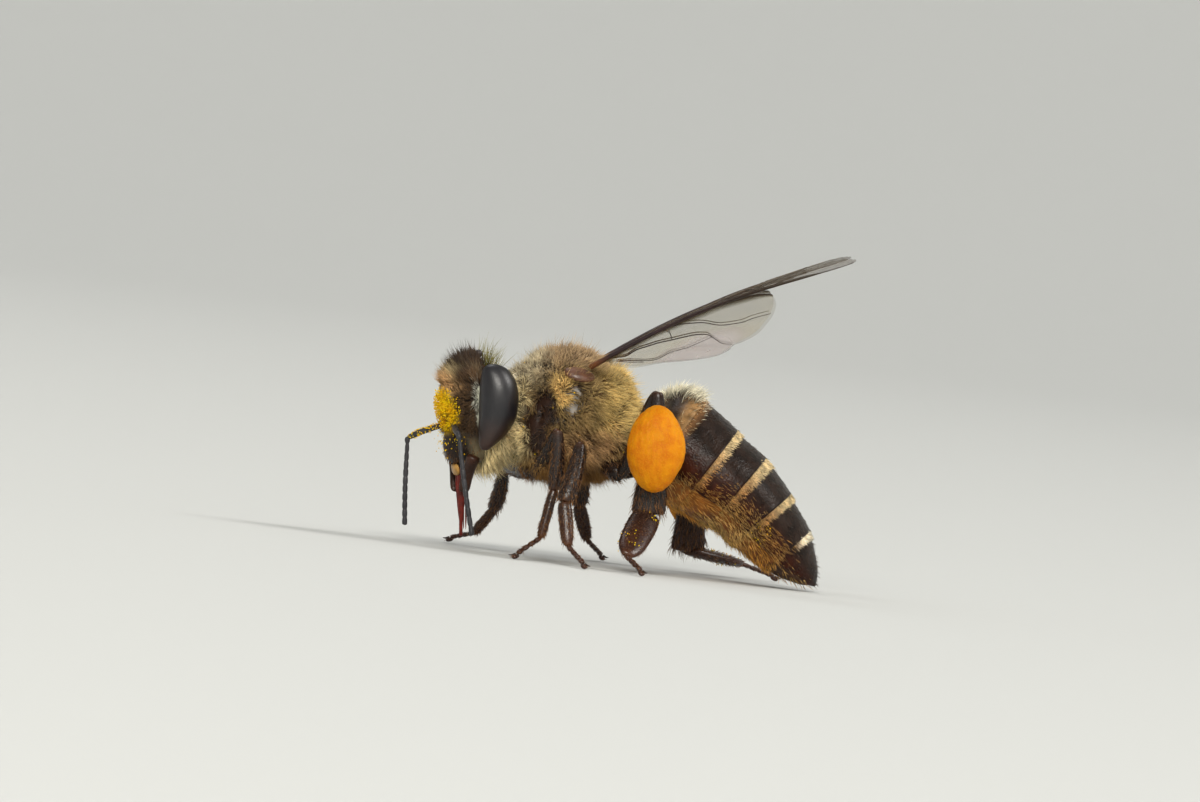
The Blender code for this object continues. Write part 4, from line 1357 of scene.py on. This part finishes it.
class Coat:
    """One piece of coat: hairs are sown on skins, piece by piece, then made into one mesh."""

    def __init__(self, name, middle, seed):
        self.name, self.middle = name, np.array(middle, dtype=float)
        self.luck = np.random.default_rng(sizes().seed * 1000 + seed)
        self.lots = []

    def roots(self, skin, count, where):
        """Roots spread evenly over a skin, thinned to where that function of points and normals is high."""
        mesh = skin.data
        mesh.calc_loop_triangles()
        corners = np.empty(len(mesh.loop_triangles) * 3, dtype=np.int64)
        mesh.loop_triangles.foreach_get("vertices", corners)
        corners = corners.reshape(-1, 3)
        points = points_of(skin) / MM - np.array(SHIFT)
        normals = normals_of(skin)
        a, b, c = (points[corners[:, k]] for k in range(3))
        area = np.linalg.norm(np.cross(b - a, c - a), axis=1)
        middle_normals = normals[corners].mean(axis=1)
        weight = area * np.clip(where((a + b + c) / 3, middle_normals), 0, 1)
        chosen = self.luck.choice(len(area), size=count, p=weight / weight.sum())
        u, v = self.luck.random(count), self.luck.random(count)
        fold = u + v > 1
        u[fold], v[fold] = 1 - u[fold], 1 - v[fold]
        w = 1 - u - v
        picked = corners[chosen]

        def within(values):
            first, second, third = (values[picked[:, k]] for k in range(3))
            return first * w[:, None] + second * u[:, None] + third * v[:, None]

        normal = within(normals)
        return within(points), normal / np.linalg.norm(normal, axis=1)[:, None]

    def sow(self, skin, count, where, tints, length, lie, *, stand, lean, rough, clump,
            bend=0.3, width=1.0, levels=2, clump_size=0.35):
        """Hairs that stand by the normal and lean along lie.

        lie, tints and length are each one value or a function of the roots.
        """
        root, normal = self.roots(skin, count, where)
        way = lie(root, normal) if callable(lie) else np.tile(np.array(lie, dtype=float), (count, 1))
        heading = stand * normal + lean * way + clump * wander(root, clump_size, 50)
        heading += rough * self.luck.normal(size=(count, 3))
        heading /= np.linalg.norm(heading, axis=1)[:, None]
        drop = bend * (way - (way * heading).sum(axis=1)[:, None] * heading)
        drop += 0.12 * self.luck.normal(size=(count, 3))
        reach = length(root) if callable(length) else np.full(count, float(length))
        reach = reach * (0.65 + 0.5 * self.luck.random(count))
        half = sizes().hair / 2 * width * (0.8 + 0.4 * self.luck.random(count))
        colour = tints(root) if callable(tints) else np.tile(tints, (count, 1))
        self.lots.append((root - HAIR_SINK * normal, heading, drop, reach, half, colour, levels))

    def make(self, finish, slot):
        """All the hairs sown so far as one mesh: each a bent three-sided tube that tapers to a point."""
        verts, tris, patch, tints, tones, reaches = [], [], [], [], [], []
        start = 0
        for root, heading, drop, reach, half, colour, levels in self.lots:
            count = len(root)
            side = np.cross(heading, self.luck.normal(size=(count, 3)))
            side /= np.linalg.norm(side, axis=1)[:, None]
            deep = np.cross(heading, side)
            shares = np.linspace(0, 1, levels + 1)[:-1] ** 0.9
            per = 3 * levels + 1
            hair = np.empty((count, per, 3))
            for ring, t in enumerate(shares):
                middle = root + reach[:, None] * (t * heading + t * t * drop)
                slim = (half * (1 - t) ** 0.55)[:, None]
                for k in range(3):
                    angle = 2 * math.pi * k / 3
                    hair[:, 3 * ring + k] = middle + slim * (math.cos(angle) * side + math.sin(angle) * deep)
            hair[:, -1] = root + reach[:, None] * (heading + drop)
            faces = [(2, 1, 0)]
            for ring in range(levels - 1):
                for k in range(3):
                    a, b = 3 * ring + k, 3 * ring + (k + 1) % 3
                    faces += [(a, b, b + 3), (a, b + 3, a + 3)]
            top = 3 * (levels - 1)
            faces += [(top + k, top + (k + 1) % 3, per - 1) for k in range(3)]
            verts.append(hair.reshape(-1, 3))
            offsets = start + per * np.arange(count)
            tris.append((np.array(faces)[None] + offsets[:, None, None]).reshape(-1, 3))
            start += per * count
            place = self.unwrap(root)
            along = np.repeat(np.append(shares, 1.0), [3] * levels + [1])
            around = np.append(np.tile([0.0, 0.5, 1.0], levels), 0.5)
            spread = HAIR_PATCH * np.column_stack([around, along])
            patch.append((place[:, None, :] + spread[None]).reshape(-1, 2))
            tints.append(np.repeat(colour, per, axis=0))
            clumps = 0.5 + 0.5 * ripple(root, 0.13, 90)
            tones.append(np.repeat(0.5 * self.luck.random(count) + 0.5 * clumps, per))
            reaches.append(np.tile(along, count))
        verts, tris = np.vstack(verts), np.vstack(tris)
        verts[:, 2] = np.maximum(verts[:, 2], HAIR_CLEAR)
        mesh = bpy.data.meshes.new(self.name)
        mesh.vertices.add(len(verts))
        mesh.vertices.foreach_set("co", verts.ravel())
        mesh.loops.add(tris.size)
        mesh.loops.foreach_set("vertex_index", tris.ravel())
        mesh.polygons.add(len(tris))
        mesh.polygons.foreach_set("loop_start", np.arange(0, tris.size, 3))
        mesh.update(calc_edges=True)
        layer = mesh.uv_layers.new(name="OFBake")
        layer.data.foreach_set("uv", np.vstack(patch)[tris.ravel()].ravel())
        for name, values in (("tone", tones), ("reach", reaches)):
            mesh.attributes.new(name, "FLOAT", "POINT").data.foreach_set("value", np.concatenate(values))
        piece = bpy.data.objects.new(self.name, mesh)
        bpy.context.scene.collection.objects.link(piece)
        paint(piece, np.vstack(tints))
        return settle(piece, finish, slot)

    def unwrap(self, points):
        """Where points lie on the skin unrolled round its own middle: round it and along it."""
        away = points - self.middle
        around = np.arctan2(away[:, 0], away[:, 2]) / (2 * math.pi) + 0.5
        along = np.arccos(np.clip(away[:, 1] / np.linalg.norm(away, axis=1), -1, 1)) / math.pi
        return 0.01 + 0.975 * np.column_stack([around, along])


def part(name):
    """A piece that an earlier step has made."""
    return bpy.data.objects[name]


def head_where(test):
    """Keeps hair on the head, where a test of left, forward and up from its centre allows it."""
    def where(points, normals):
        return on_head(points) * test(*head_axes(points).T)
    return where


@head_where
def crown(left, forward, up):
    rise = np.clip((up - 0.55) / 0.3, 0, 1)
    return rise * np.clip((forward - 0.25 * np.abs(left) + 0.02) / 0.2, 0.01, 1)


@head_where
def nape(left, forward, up):
    return (up > 0.75) * (forward < 0.0) * (np.abs(left) < 1.1)


@head_where
def frons(left, forward, up):
    rim = (forward < 0.38) & (np.abs(left) > 1.0)
    return (forward > 0.15) * (up < 0.95) * (up > -0.55) * (1 - 0.97 * rim)


@head_where
def lower_face(left, forward, up):
    return (forward > 0.2) * (up <= -0.5)


@head_where
def eye_margin(left, forward, up):
    return (forward > 0.32) & (forward < 0.40) & (np.abs(left) > 1.0) & (np.abs(up - 0.30) < 0.60)


@head_where
def jowl(left, forward, up):
    return (forward < -0.20) * (up < 0.85) * (np.abs(left) > 0.35)


@head_where
def fringe(left, forward, up):
    return (forward < -0.32) * (np.abs(left) > 0.55) * (np.abs(up) < 0.85)


@head_where
def chin(left, forward, up):
    return (forward < 0.14) * (up < -0.55)


def crown_lie(points, normals):
    """Up, and forward or back from the crown's middle."""
    forward = head_axes(points)[:, 1]
    return np.outer(np.clip(forward, -0.2, 0.8), np.array(FACE)) + np.array(UP)


def face_lie(points, normals):
    """Up above the feelers, down below them."""
    up = head_axes(points)[:, 2]
    return np.outer(np.where(up > 0.2, 0.4, -0.5), np.array(UP)) + 0.3 * np.array(FACE)


def head_coat():
    """Dark tuft on top, pale eye margins, a short-haired face and a long beard behind the eyes."""
    skin = part("body_skin")
    finish = hair_finish("head_hair")
    tuft = sizes().tuft
    beard_lie = -0.8 * UP - 0.6 * FACE

    top = Coat("head_tuft", HEAD_CENTRE, 1)
    top.sow(skin, 6400, crown, head_tints, tuft, crown_lie, stand=0.75, lean=0.8, clump=0.45, rough=0.24)
    top.sow(skin, 420, crown, head_tints, tuft * 1.5, crown_lie, stand=0.6, lean=0.9, clump=0.2,
        rough=0.24, width=0.8)
    top.sow(skin, 110, nape, HAIR["olive"], 0.72, UP - 0.25 * FACE, stand=0.5, lean=1.0, clump=0.0,
        rough=0.36, width=0.75, levels=3)
    top.sow(skin, 500, nape, HAIR["dark"], 0.06, UP, stand=0.3, lean=0.6, clump=0.2, rough=0.3, width=0.8)
    top.make(finish, "coat")

    face = Coat("face_hair", HEAD_CENTRE, 2)
    face.sow(skin, 6500, frons, head_tints, 0.18, face_lie, stand=0.8, lean=0.6, clump=0.5, rough=0.3,
        clump_size=0.2)
    face.sow(skin, 300, lower_face, HAIR["limb"], 0.12, -UP, stand=0.3, lean=0.9, clump=0.1, rough=0.25,
        width=0.7)
    face.sow(skin, 450, eye_margin, HAIR["margin"], 0.04, -UP, stand=0.5, lean=0.9, clump=0.1, rough=0.2)
    face.make(finish, "face")

    beard = Coat("beard_hair", HEAD_CENTRE, 3)
    beard.sow(skin, 7000, jowl, HAIR["beard"], 0.42, beard_lie, stand=0.7, lean=0.8, bend=0.3, clump=0.3,
        rough=0.2)
    beard.sow(skin, 3000, fringe, HAIR["white"], 0.40, -FACE, stand=0.5, lean=1.0, bend=0.1, clump=0.3,
        rough=0.2)
    beard.sow(skin, 3000, chin, HAIR["beard"], 0.56, beard_lie, stand=0.5, lean=1.0, bend=0.2, clump=0.35,
        rough=0.25)
    beard.make(finish, "coat")


def thorax_where(test):
    """Keeps hair on the thorax, thinned behind the head, on the shiny patch and round the legs."""
    def where(points, normals):
        local = mirrored(points)
        keep = test(points, normals) * (points[:, 1] > -2.05) * (points[:, 1] < 1.6)
        gap = (local[:, 1] < -1.45) * (np.abs(local[:, 2] - 3.6) < 0.3) * (local[:, 0] > 0.45)
        bare = np.maximum(spot(local, (1.5, -1.20, 3.38), (1.0, 0.28, 0.85), 0.3), gap)
        shiny = spot(local, (1.6, -0.43, 4.14), (0.5, 0.20, 0.42), 0.3)
        knees = spot(local, (1.6, -0.50, 3.30), (0.6, 0.30, 0.40), 0.3)
        gaps = np.clip(ripple(points, 0.26, 60) * 2.0, 0, 1) * np.clip((4.5 - points[:, 2]) / 0.4, 0, 1)
        return keep * (1 - 0.97 * bare) * (1 - 0.93 * shiny) * (1 - 0.7 * knees) * (1 - 0.85 * gaps)
    return where


def thorax_lie(points, normals):
    """Back along the body, down the sides."""
    side = np.sign(points[:, 0])
    back = np.tile((0.0, 0.55, 0.0), (len(points), 1))
    steep = np.clip(1.2 - np.abs(normals[:, 2]), 0, 1)[:, None]
    down = np.column_stack([0.2 * side, 0.15 + 0 * side, -0.5 + 0 * side])
    return back + steep * down


def on_side(points, normals):
    """The thorax's two sides, between collar and rear."""
    return (normals[:, 2] <= 0.42) & (points[:, 1] > -1.4) & (points[:, 1] < 0.5)


THORAX_PIECES = [  # name, hairs, length as a share of the back's, and where it grows
    ("back_hair", 17000, 1.0, lambda p, n: (n[:, 2] > 0.35) & (p[:, 1] > -1.45) & (p[:, 1] < 0.55)),
    ("collar_hair", 9000, 0.85, lambda p, n: p[:, 1] <= -1.30),
    ("left_side_hair", 17000, 1.0, lambda p, n: on_side(p, n) & (p[:, 0] > 0)),
    ("right_side_hair", 17000, 1.0, lambda p, n: on_side(p, n) & (p[:, 0] <= 0)),
    ("rear_hair", 15000, 1.12, lambda p, n: p[:, 1] >= 0.30),
]


def thorax_coat():
    """Dense short fur in five pieces: collar, back, two sides and the rear."""
    skin = part("body_skin")
    finish = hair_finish("thorax_hair")
    for k, (name, count, share, test) in enumerate(THORAX_PIECES):
        coat = Coat(name, (0.0, -0.4, 3.7), 10 + k)
        where = thorax_where(test)
        reach = sizes().back * share
        coat.sow(skin, int(0.74 * count), where, thorax_tints, reach, thorax_lie, stand=1.0, lean=0.5,
            clump=0.75, rough=0.26, clump_size=0.17)
        coat.sow(skin, int(0.16 * count), where, HAIR["dark"], reach * 0.8, thorax_lie, stand=1.0,
            lean=0.5, clump=0.6, rough=0.3, clump_size=0.17)
        coat.sow(skin, 380, where, lambda p: thorax_tints(p) * 1.15, reach * 1.55, thorax_lie, stand=1.0,
            lean=0.2, clump=0.1, rough=0.2, width=0.6)
        coat.make(finish, "coat")


def ring_axes(points):
    """For points near the abdomen: their place in rings and their angle, found on the middle line."""
    spots = ABDOMEN_RUN[:, :2]
    away = points[:, None, 1:] - spots[None]
    slopes = np.gradient(spots, axis=0)
    slopes /= np.linalg.norm(slopes, axis=1)[:, None]
    along = np.abs((away * slopes[None]).sum(axis=2)) + 0.02 * np.linalg.norm(away, axis=2)
    nearest = np.argmin(along, axis=1)
    tangent = slopes[nearest]
    offset = points[:, 1:] - spots[nearest]
    lift = offset[:, 1] * tangent[:, 0] - offset[:, 0] * tangent[:, 1]
    return nearest / ABDOMEN_STEPS, np.degrees(np.arctan2(lift, points[:, 0])), tangent


def above_edge(points):
    """How many degrees above the lower edge of a back plate, on the nearer side."""
    angle = ring_axes(points)[1]
    return np.minimum(angle - PLATE_EDGES[0], PLATE_EDGES[1] - angle)


def lowness(points, level, fade):
    """0 above that level on the flanks, in degrees, and 1 once fade degrees below it."""
    angle = ring_axes(points)[1]
    return np.clip((level - np.minimum(angle, 180.0 - angle)) / fade, 0, 1)


def abdomen_lie(points, normals):
    """Back along the abdomen."""
    _, _, tangent = ring_axes(points)
    return np.column_stack([np.zeros(len(points)), tangent])


ABDOMEN_MIDDLE = (0.0, 3.8, 2.2)
BELLY_HAIRS = (1400, 2400, 2600, 2600, 2000, 150)
FLANK_HAIRS = (500, 1100, 1200, 1200, 1200, 40)


def amber(points):
    """The belly's hair, between amber and pale."""
    return blend(np.tile(HAIR["amber"], (len(points), 1)), 0.5 + 0.5 * ripple(points, 0.5, 70), HAIR["pale"])


def tawny(points):
    """The flanks' hair, browner than the belly's."""
    return blend(amber(points), 0.55 * np.ones(len(points)), linear(130, 92, 48))


def fluff_tints(points):
    """White above, pale on the flanks."""
    return blend(np.tile(HAIR["fluff"], (len(points), 1)), lowness(points, 40.0, 30.0), HAIR["pale"])


def fluff_where(points, normals):
    """The front of the abdomen's back."""
    place, angle, _ = ring_axes(points)
    return (place < 2.0) * np.clip((42.0 - np.abs(angle - 90.0)) / 16.0, 0.02, 1.0)


def felt_band(bands, number):
    """A cream band at the front of a back plate, thin and tan low on the flanks."""
    start = SEGMENT_SPANS[number][0]
    last = number == LAST_SEGMENT
    count, depth, tint = (3200, 0.14, HAIR["white"]) if last else (5200, 0.12, tuple(colours().band))

    def where(points, normals):
        place = ring_axes(points)[0]
        inside = (place > start - 0.11) & (place < start + depth + 0.015 * ripple(points, 0.5, 77))
        return inside * np.clip((above_edge(points) - BAND_CLEAR[number]) / 36.0, 0.0, 1.0)

    def colour(points):
        return blend(np.tile(tint, (len(points), 1)), lowness(points, 30.0, 26.0), linear(188, 136, 78))

    plate = part(f"back_plate_{number + 1}")
    bands.sow(plate, count, where, colour, 0.13, abdomen_lie, stand=0.35, lean=1.0, bend=0.2, rough=0.16,
        clump=0.08)


def abdomen_coat():
    """White fluff in front, four cream felt bands, short hair on the plates and amber hair below."""
    finish = hair_finish("abdomen_hair")
    bands = Coat("felt_bands", ABDOMEN_MIDDLE, 20)
    for number in range(2, len(SEGMENT_SPANS)):
        felt_band(bands, number)
    bands.make(finish, "coat")

    short = Coat("plate_hair", ABDOMEN_MIDDLE, 21)
    for number in range(1, len(SEGMENT_SPANS)):
        plate = part(f"back_plate_{number + 1}")
        short.sow(plate, 600, lambda p, n: np.ones(len(p)), linear(76, 54, 38), 0.13, abdomen_lie,
            stand=0.25, lean=1.0, rough=0.15, clump=0.05, width=0.5)
    short.make(finish, "shell")

    fluff = Coat("waist_fluff", ABDOMEN_MIDDLE, 22)
    first, second = part("back_plate_1"), part("back_plate_2")
    fluff.sow(first, 1900, fluff_where, fluff_tints, 0.36, abdomen_lie, stand=1.0, lean=0.4, clump=0.3,
        rough=0.25, width=0.6)
    fluff.sow(second, 300, lambda p, n: ring_axes(p)[0] < 2.25, fluff_tints, 0.16, abdomen_lie, stand=0.6,
        lean=0.8, clump=0.3, rough=0.25, width=0.6)
    fluff.sow(first, 800, lambda p, n: ring_axes(p)[0] > 1.4, HAIR["tan"], 0.16, abdomen_lie, stand=0.4,
        lean=1.0, clump=0.2, rough=0.2, width=0.6)
    fluff.make(finish, "coat")

    belly = Coat("belly_hair", ABDOMEN_MIDDLE, 23)
    for number, count in enumerate(BELLY_HAIRS, 1):
        belly.sow(part(f"belly_plate_{number}"), count, lambda p, n: lowness(p, 14.0, 20.0), amber, 0.24,
            abdomen_lie, stand=0.35, lean=1.0, rough=0.22, clump=0.3, width=0.75)
    belly.make(finish, "coat")

    flank = Coat("flank_hair", ABDOMEN_MIDDLE, 24)
    for number, count in enumerate(FLANK_HAIRS, 1):
        flank.sow(part(f"back_plate_{number}"), count,
            lambda p, n: np.clip((34.0 - above_edge(p)) / 26.0, 0, 1), tawny, 0.18, abdomen_lie,
            stand=0.3, lean=1.0, rough=0.2, clump=0.3, width=0.55)
    flank.make(finish, "coat")


BRISTLES = {  # how many on each length of a leg, and how long
    "coxa": (240, 0.24),
    "femur": (260, 0.20),
    "tibia": (380, 0.18),
    "metatarsus": (420, 0.13),
    "toes": (200, 0.09),
}
BASKET_BRISTLES = (700, 0.30)  # on the hind shins, round the pollen


def leg_coat():
    """Short bristles on every leg, longer and denser ones round the pollen baskets."""
    finish = hair_finish("leg_hair")
    for name in SIDES:
        coat = Coat(f"{name}_leg_hair", (0, 0, 2.0), 30 + SIDES[name])
        for pair in ("fore", "mid", "hind"):
            place = f"{pair}_{name}"
            joints, _ = leg_axes(place)
            knee = np.array(LEGS[place][2])
            bare = 0.55 if pair == "hind" else 0.30

            def clothed(points, normals):
                return (points[:, 2] > 0.06) & (np.linalg.norm(points - knee, axis=1) > bare)

            for bone, (start, end) in joints.items():
                basket = pair == "hind" and bone == "tibia"
                count, reach = BASKET_BRISTLES if basket else BRISTLES[bone]
                axis = np.array((end - start).normalized())
                coat.sow(part(f"{bone}_{place}_shell"), count, clothed, HAIR["limb"], reach, axis,
                    stand=0.5, lean=1.0, rough=0.2, clump=0.1, width=0.65)
        coat.make(finish, "limb")


def dusty_face(points, normals):
    """Thick over the middle of the face, loose below it."""
    local = mirrored(head_axes(points))
    thick = spot(local, (0.0, 0.85, -0.08), (0.60, 0.5, 0.50), 0.25)
    loose = 0.05 * spot(local, (0.1, 0.8, -0.60), (0.6, 0.6, 0.5), 0.4)
    return on_head(points) * np.maximum(thick, loose) * (1 - 0.8 * browned(points, local))


def pollen_dust():
    """Loose grains on the face, and a few on the abdomen, thorax, hind feet and right feeler."""
    finish = pollen_finish("loose_pollen", tuple(colours().dust))
    dust = Coat("dust", HEAD_CENTRE, 40)
    skin = part("body_skin")
    places = [  # what it lies on, how many grains, where, and how high they can lie on the hair
        (skin, 1900, dusty_face, 0.22),
        (part("back_plate_5"), 70, lambda p, n: spot(p, (1.3, 4.62, 1.42), (0.6, 0.35, 0.35)), 0.05),
        (skin, 60, lambda p, n: p[:, 1] > -1.8, 0.3),
    ]
    for side in SIDES:
        foot = part(f"metatarsus_hind_{side}_shell")
        places.append((foot, 60, lambda p, n: np.clip(ripple(p, 0.3, 95), 0.02, 1), 0.05))
    places.append((part("right_scape"), 150, lambda p, n: np.clip(0.4 + ripple(p, 0.3, 96), 0, 1), 0.03))
    lots = [(*dust.roots(under, count, where), lift) for under, count, where, lift in places]
    clear_choice()
    bpy.ops.mesh.primitive_ico_sphere_add(subdivisions=1, radius=1.0, location=(0, 0, 0))
    seed = bpy.context.object
    ball = points_of(seed)
    faces = np.array([tuple(face.vertices) for face in seed.data.polygons])
    bpy.data.objects.remove(seed, do_unlink=True)
    verts, tris = [], []
    for root, normal, lift in lots:
        count = len(root)
        radius = sizes().grain * dust.luck.uniform(0.7, 1.5, count)
        centre = root + normal * (lift * dust.luck.random(count))[:, None]
        squash = dust.luck.uniform(0.75, 1.0, (count, 1, 3))
        start = sum(len(v) for v in verts)
        verts.append((centre[:, None, :] + ball[None] * squash * radius[:, None, None]).reshape(-1, 3))
        offsets = start + len(ball) * np.arange(count)
        tris.append((faces[None] + offsets[:, None, None]).reshape(-1, 3))
    mesh = bpy.data.meshes.new("loose_pollen")
    mesh.from_pydata(np.vstack(verts).tolist(), [], np.vstack(tris).tolist())
    piece = bpy.data.objects.new("loose_pollen", mesh)
    bpy.context.scene.collection.objects.link(piece)
    settle(piece, finish, "pollen")


# Stage, in metres but for the view, which is in millimetres and degrees

STAGE = {"floor": 0.42, "curve": 0.90, "wall": 0.30, "steps": 24}
VIEW = {"aim": (0.0, 0.2515, 4.106), "rise": 1.0, "distance": 400.0, "width": 30.0, "sensor": 36.0}
LIGHTS = [  # name, direction from the bee, distance, width and height in metres, power in watts, colour
    ("key", (0.80, 0.02, 0.52), 1.10, 0.54, 0.26, 9.9, (1.0, 0.97, 0.90)),
    ("top", (0.12, 0.72, 0.68), 1.10, 0.40, 0.40, 6.0, (1.0, 0.98, 0.94)),
    ("back", (-0.36, -0.22, 0.91), 1.10, 0.58, 0.58, 2.4, (0.97, 0.98, 1.0)),
]


def seamless_floor():
    """A round floor whose rim curves up into a wall, so that no edge shows from any side."""
    clear_choice()
    radius, height = STAGE["floor"], 0.0
    bpy.ops.mesh.primitive_circle_add(vertices=128, radius=radius, fill_type="NGON", location=(0, 0, 0))
    bowl = named("floor")
    bpy.ops.object.mode_set(mode="EDIT")
    bpy.ops.mesh.select_all(action="SELECT")
    bpy.ops.mesh.select_mode(type="EDGE")
    bpy.ops.mesh.region_to_loop()
    for k in range(STAGE["steps"] + 1):
        angle = math.pi / 2 * min(1.0, (k + 1) / STAGE["steps"])
        wide = STAGE["floor"] + STAGE["curve"] * math.sin(angle)
        tall = STAGE["curve"] * (1 - math.cos(angle)) + (STAGE["wall"] if k == STAGE["steps"] else 0.0)
        bpy.ops.mesh.extrude_edges_move(TRANSFORM_OT_translate={"value": (0, 0, tall - height)})
        bpy.ops.transform.resize(value=(wide / radius, wide / radius, 1.0), center_override=(0, 0, tall))
        radius, height = wide, tall
    bpy.ops.mesh.select_all(action="SELECT")
    bpy.ops.mesh.normals_make_consistent(inside=True)
    bpy.ops.object.mode_set(mode="OBJECT")
    bpy.ops.object.shade_smooth_by_angle(angle=math.radians(30))
    finish = Finish("floor_paint", {"Base Color": solid((0.58, 0.59, 0.58)), "Roughness": 0.9})
    bowl.data.materials.clear()
    bowl.data.materials.append(finish.material)


def camera():
    """Looks at her left side, rolled by her lean, from just above her level."""
    aim = (Vector(VIEW["aim"]) + SHIFT) * MM
    rise = math.radians(VIEW["rise"])
    back = Vector((math.cos(rise), 0.0, math.sin(rise)))
    upright = (UP - UP.dot(back) * back).normalized()
    right = upright.cross(back)
    data = bpy.data.cameras.new("camera")
    data.sensor_width = VIEW["sensor"]
    data.lens = VIEW["sensor"] * VIEW["distance"] / VIEW["width"]
    data.clip_start, data.clip_end = 0.01, 10.0
    made = bpy.data.objects.new("camera", data)
    turn = Matrix((right, upright, back)).transposed().to_4x4()
    made.matrix_world = Matrix.Translation(aim + back * VIEW["distance"] * MM) @ turn
    bpy.context.scene.collection.objects.link(made)
    bpy.context.scene.camera = made


def lights():
    """Three soft lamps that face her, and a pale even light all round."""
    centre = (Vector((0.0, 0.6, 3.0)) + SHIFT) * MM
    for name, direction, distance, wide, tall, power, colour in LIGHTS:
        data = bpy.data.lights.new(name, "AREA")
        data.shape, data.size, data.size_y = "ELLIPSE", wide, tall
        data.energy, data.color = power, colour
        lamp = bpy.data.objects.new(name, data)
        way = Vector(direction).normalized()
        lamp.location = centre + way * distance
        lamp.rotation_mode = "QUATERNION"
        lamp.rotation_quaternion = way.to_track_quat("Z", "Y")
        bpy.context.scene.collection.objects.link(lamp)
    world = bpy.data.worlds.new("studio")
    bpy.context.scene.world = world
    world.use_nodes = True
    backdrop = world.node_tree.nodes["Background"]
    backdrop.inputs["Color"].default_value = (1.0, 0.98, 0.92, 1.0)
    backdrop.inputs["Strength"].default_value = 0.27


# The add-on

class BEE_OT_stage(bpy.types.Operator):
    """Sets up the floor, the lights and the camera"""

    bl_idname = "bee.stage"
    bl_label = "Stage"

    def execute(self, context):
        seamless_floor()
        lights()
        camera()
        context.scene.view_settings.view_transform = "Standard"
        return {"FINISHED"}


class BEE_OT_body(bpy.types.Operator):
    """Moulds the skin over head, neck, thorax and waist"""

    bl_idname = "bee.body"
    bl_label = "Body skin"

    def execute(self, context):
        body_skin()
        return {"FINISHED"}


class BEE_OT_eyes(bpy.types.Operator):
    """Makes the faceted eyes and the ocelli"""

    bl_idname = "bee.eyes"
    bl_label = "Eyes"

    def execute(self, context):
        eyes()
        return {"FINISHED"}


class BEE_OT_mouth(bpy.types.Operator):
    """Makes labrum, jaws and tongue"""

    bl_idname = "bee.mouth"
    bl_label = "Mouthparts"

    def execute(self, context):
        mouthparts()
        return {"FINISHED"}


class BEE_OT_feelers(bpy.types.Operator):
    """Makes the two ringed feelers"""

    bl_idname = "bee.feelers"
    bl_label = "Feelers"

    def execute(self, context):
        feelers()
        return {"FINISHED"}


class BEE_OT_wings(bpy.types.Operator):
    """Makes the veined wings and the scales over their roots"""

    bl_idname = "bee.wings"
    bl_label = "Wings"

    def execute(self, context):
        wings()
        return {"FINISHED"}


class BEE_OT_abdomen(bpy.types.Operator):
    """Makes the overlapping plates of the abdomen"""

    bl_idname = "bee.abdomen"
    bl_label = "Abdomen"

    def execute(self, context):
        abdomen()
        return {"FINISHED"}


class BEE_OT_legs(bpy.types.Operator):
    """Makes the six legs with spurs, pads and claws"""

    bl_idname = "bee.legs"
    bl_label = "Legs"

    def execute(self, context):
        legs()
        return {"FINISHED"}


class BEE_OT_pollen(bpy.types.Operator):
    """Packs the pollen loads and dusts loose grains over her"""

    bl_idname = "bee.pollen"
    bl_label = "Pollen"

    def execute(self, context):
        pollen_loads()
        pollen_dust()
        return {"FINISHED"}


class BEE_OT_coat(bpy.types.Operator):
    """Grows the coat of hair on every part"""

    bl_idname = "bee.coat"
    bl_label = "Coat of hair"

    def execute(self, context):
        head_coat()
        thorax_coat()
        abdomen_coat()
        leg_coat()
        return {"FINISHED"}


STEPS = (
    BEE_OT_stage, BEE_OT_body, BEE_OT_eyes, BEE_OT_mouth, BEE_OT_feelers, BEE_OT_wings, BEE_OT_abdomen,
    BEE_OT_legs, BEE_OT_pollen, BEE_OT_coat,
)


class BEE_PT_dresser(bpy.types.Panel):
    """Sizes, colours and steps of the bee"""

    bl_label = "Bee"
    bl_idname = "BEE_PT_dresser"
    bl_space_type = "VIEW_3D"
    bl_region_type = "UI"
    bl_category = "Bee"

    def draw(self, context):
        layout = self.layout
        for group in (context.scene.bee_sizes, context.scene.bee_colours):
            box = layout.box()
            for key in group.bl_rna.properties.keys():
                if key not in ("rna_type", "name"):
                    box.prop(group, key)
        for step in STEPS:
            layout.operator(step.bl_idname)


CLASSES = (BeeColours, BeeSizes, *STEPS, BEE_PT_dresser)


def register():
    """Makes the classes and the two groups of settings known to Blender."""
    for kind in CLASSES:
        bpy.utils.register_class(kind)
    bpy.types.Scene.bee_colours = PointerProperty(type=BeeColours)
    bpy.types.Scene.bee_sizes = PointerProperty(type=BeeSizes)


def unregister():
    """Takes them away again."""
    del bpy.types.Scene.bee_colours
    del bpy.types.Scene.bee_sizes
    for kind in reversed(CLASSES):
        bpy.utils.unregister_class(kind)


def main():
    """Registers the add-on and runs every step in order."""
    register()
    for step in STEPS:
        getattr(bpy.ops.bee, step.bl_idname.split(".")[1])()


if __name__ == "__main__":
    main()
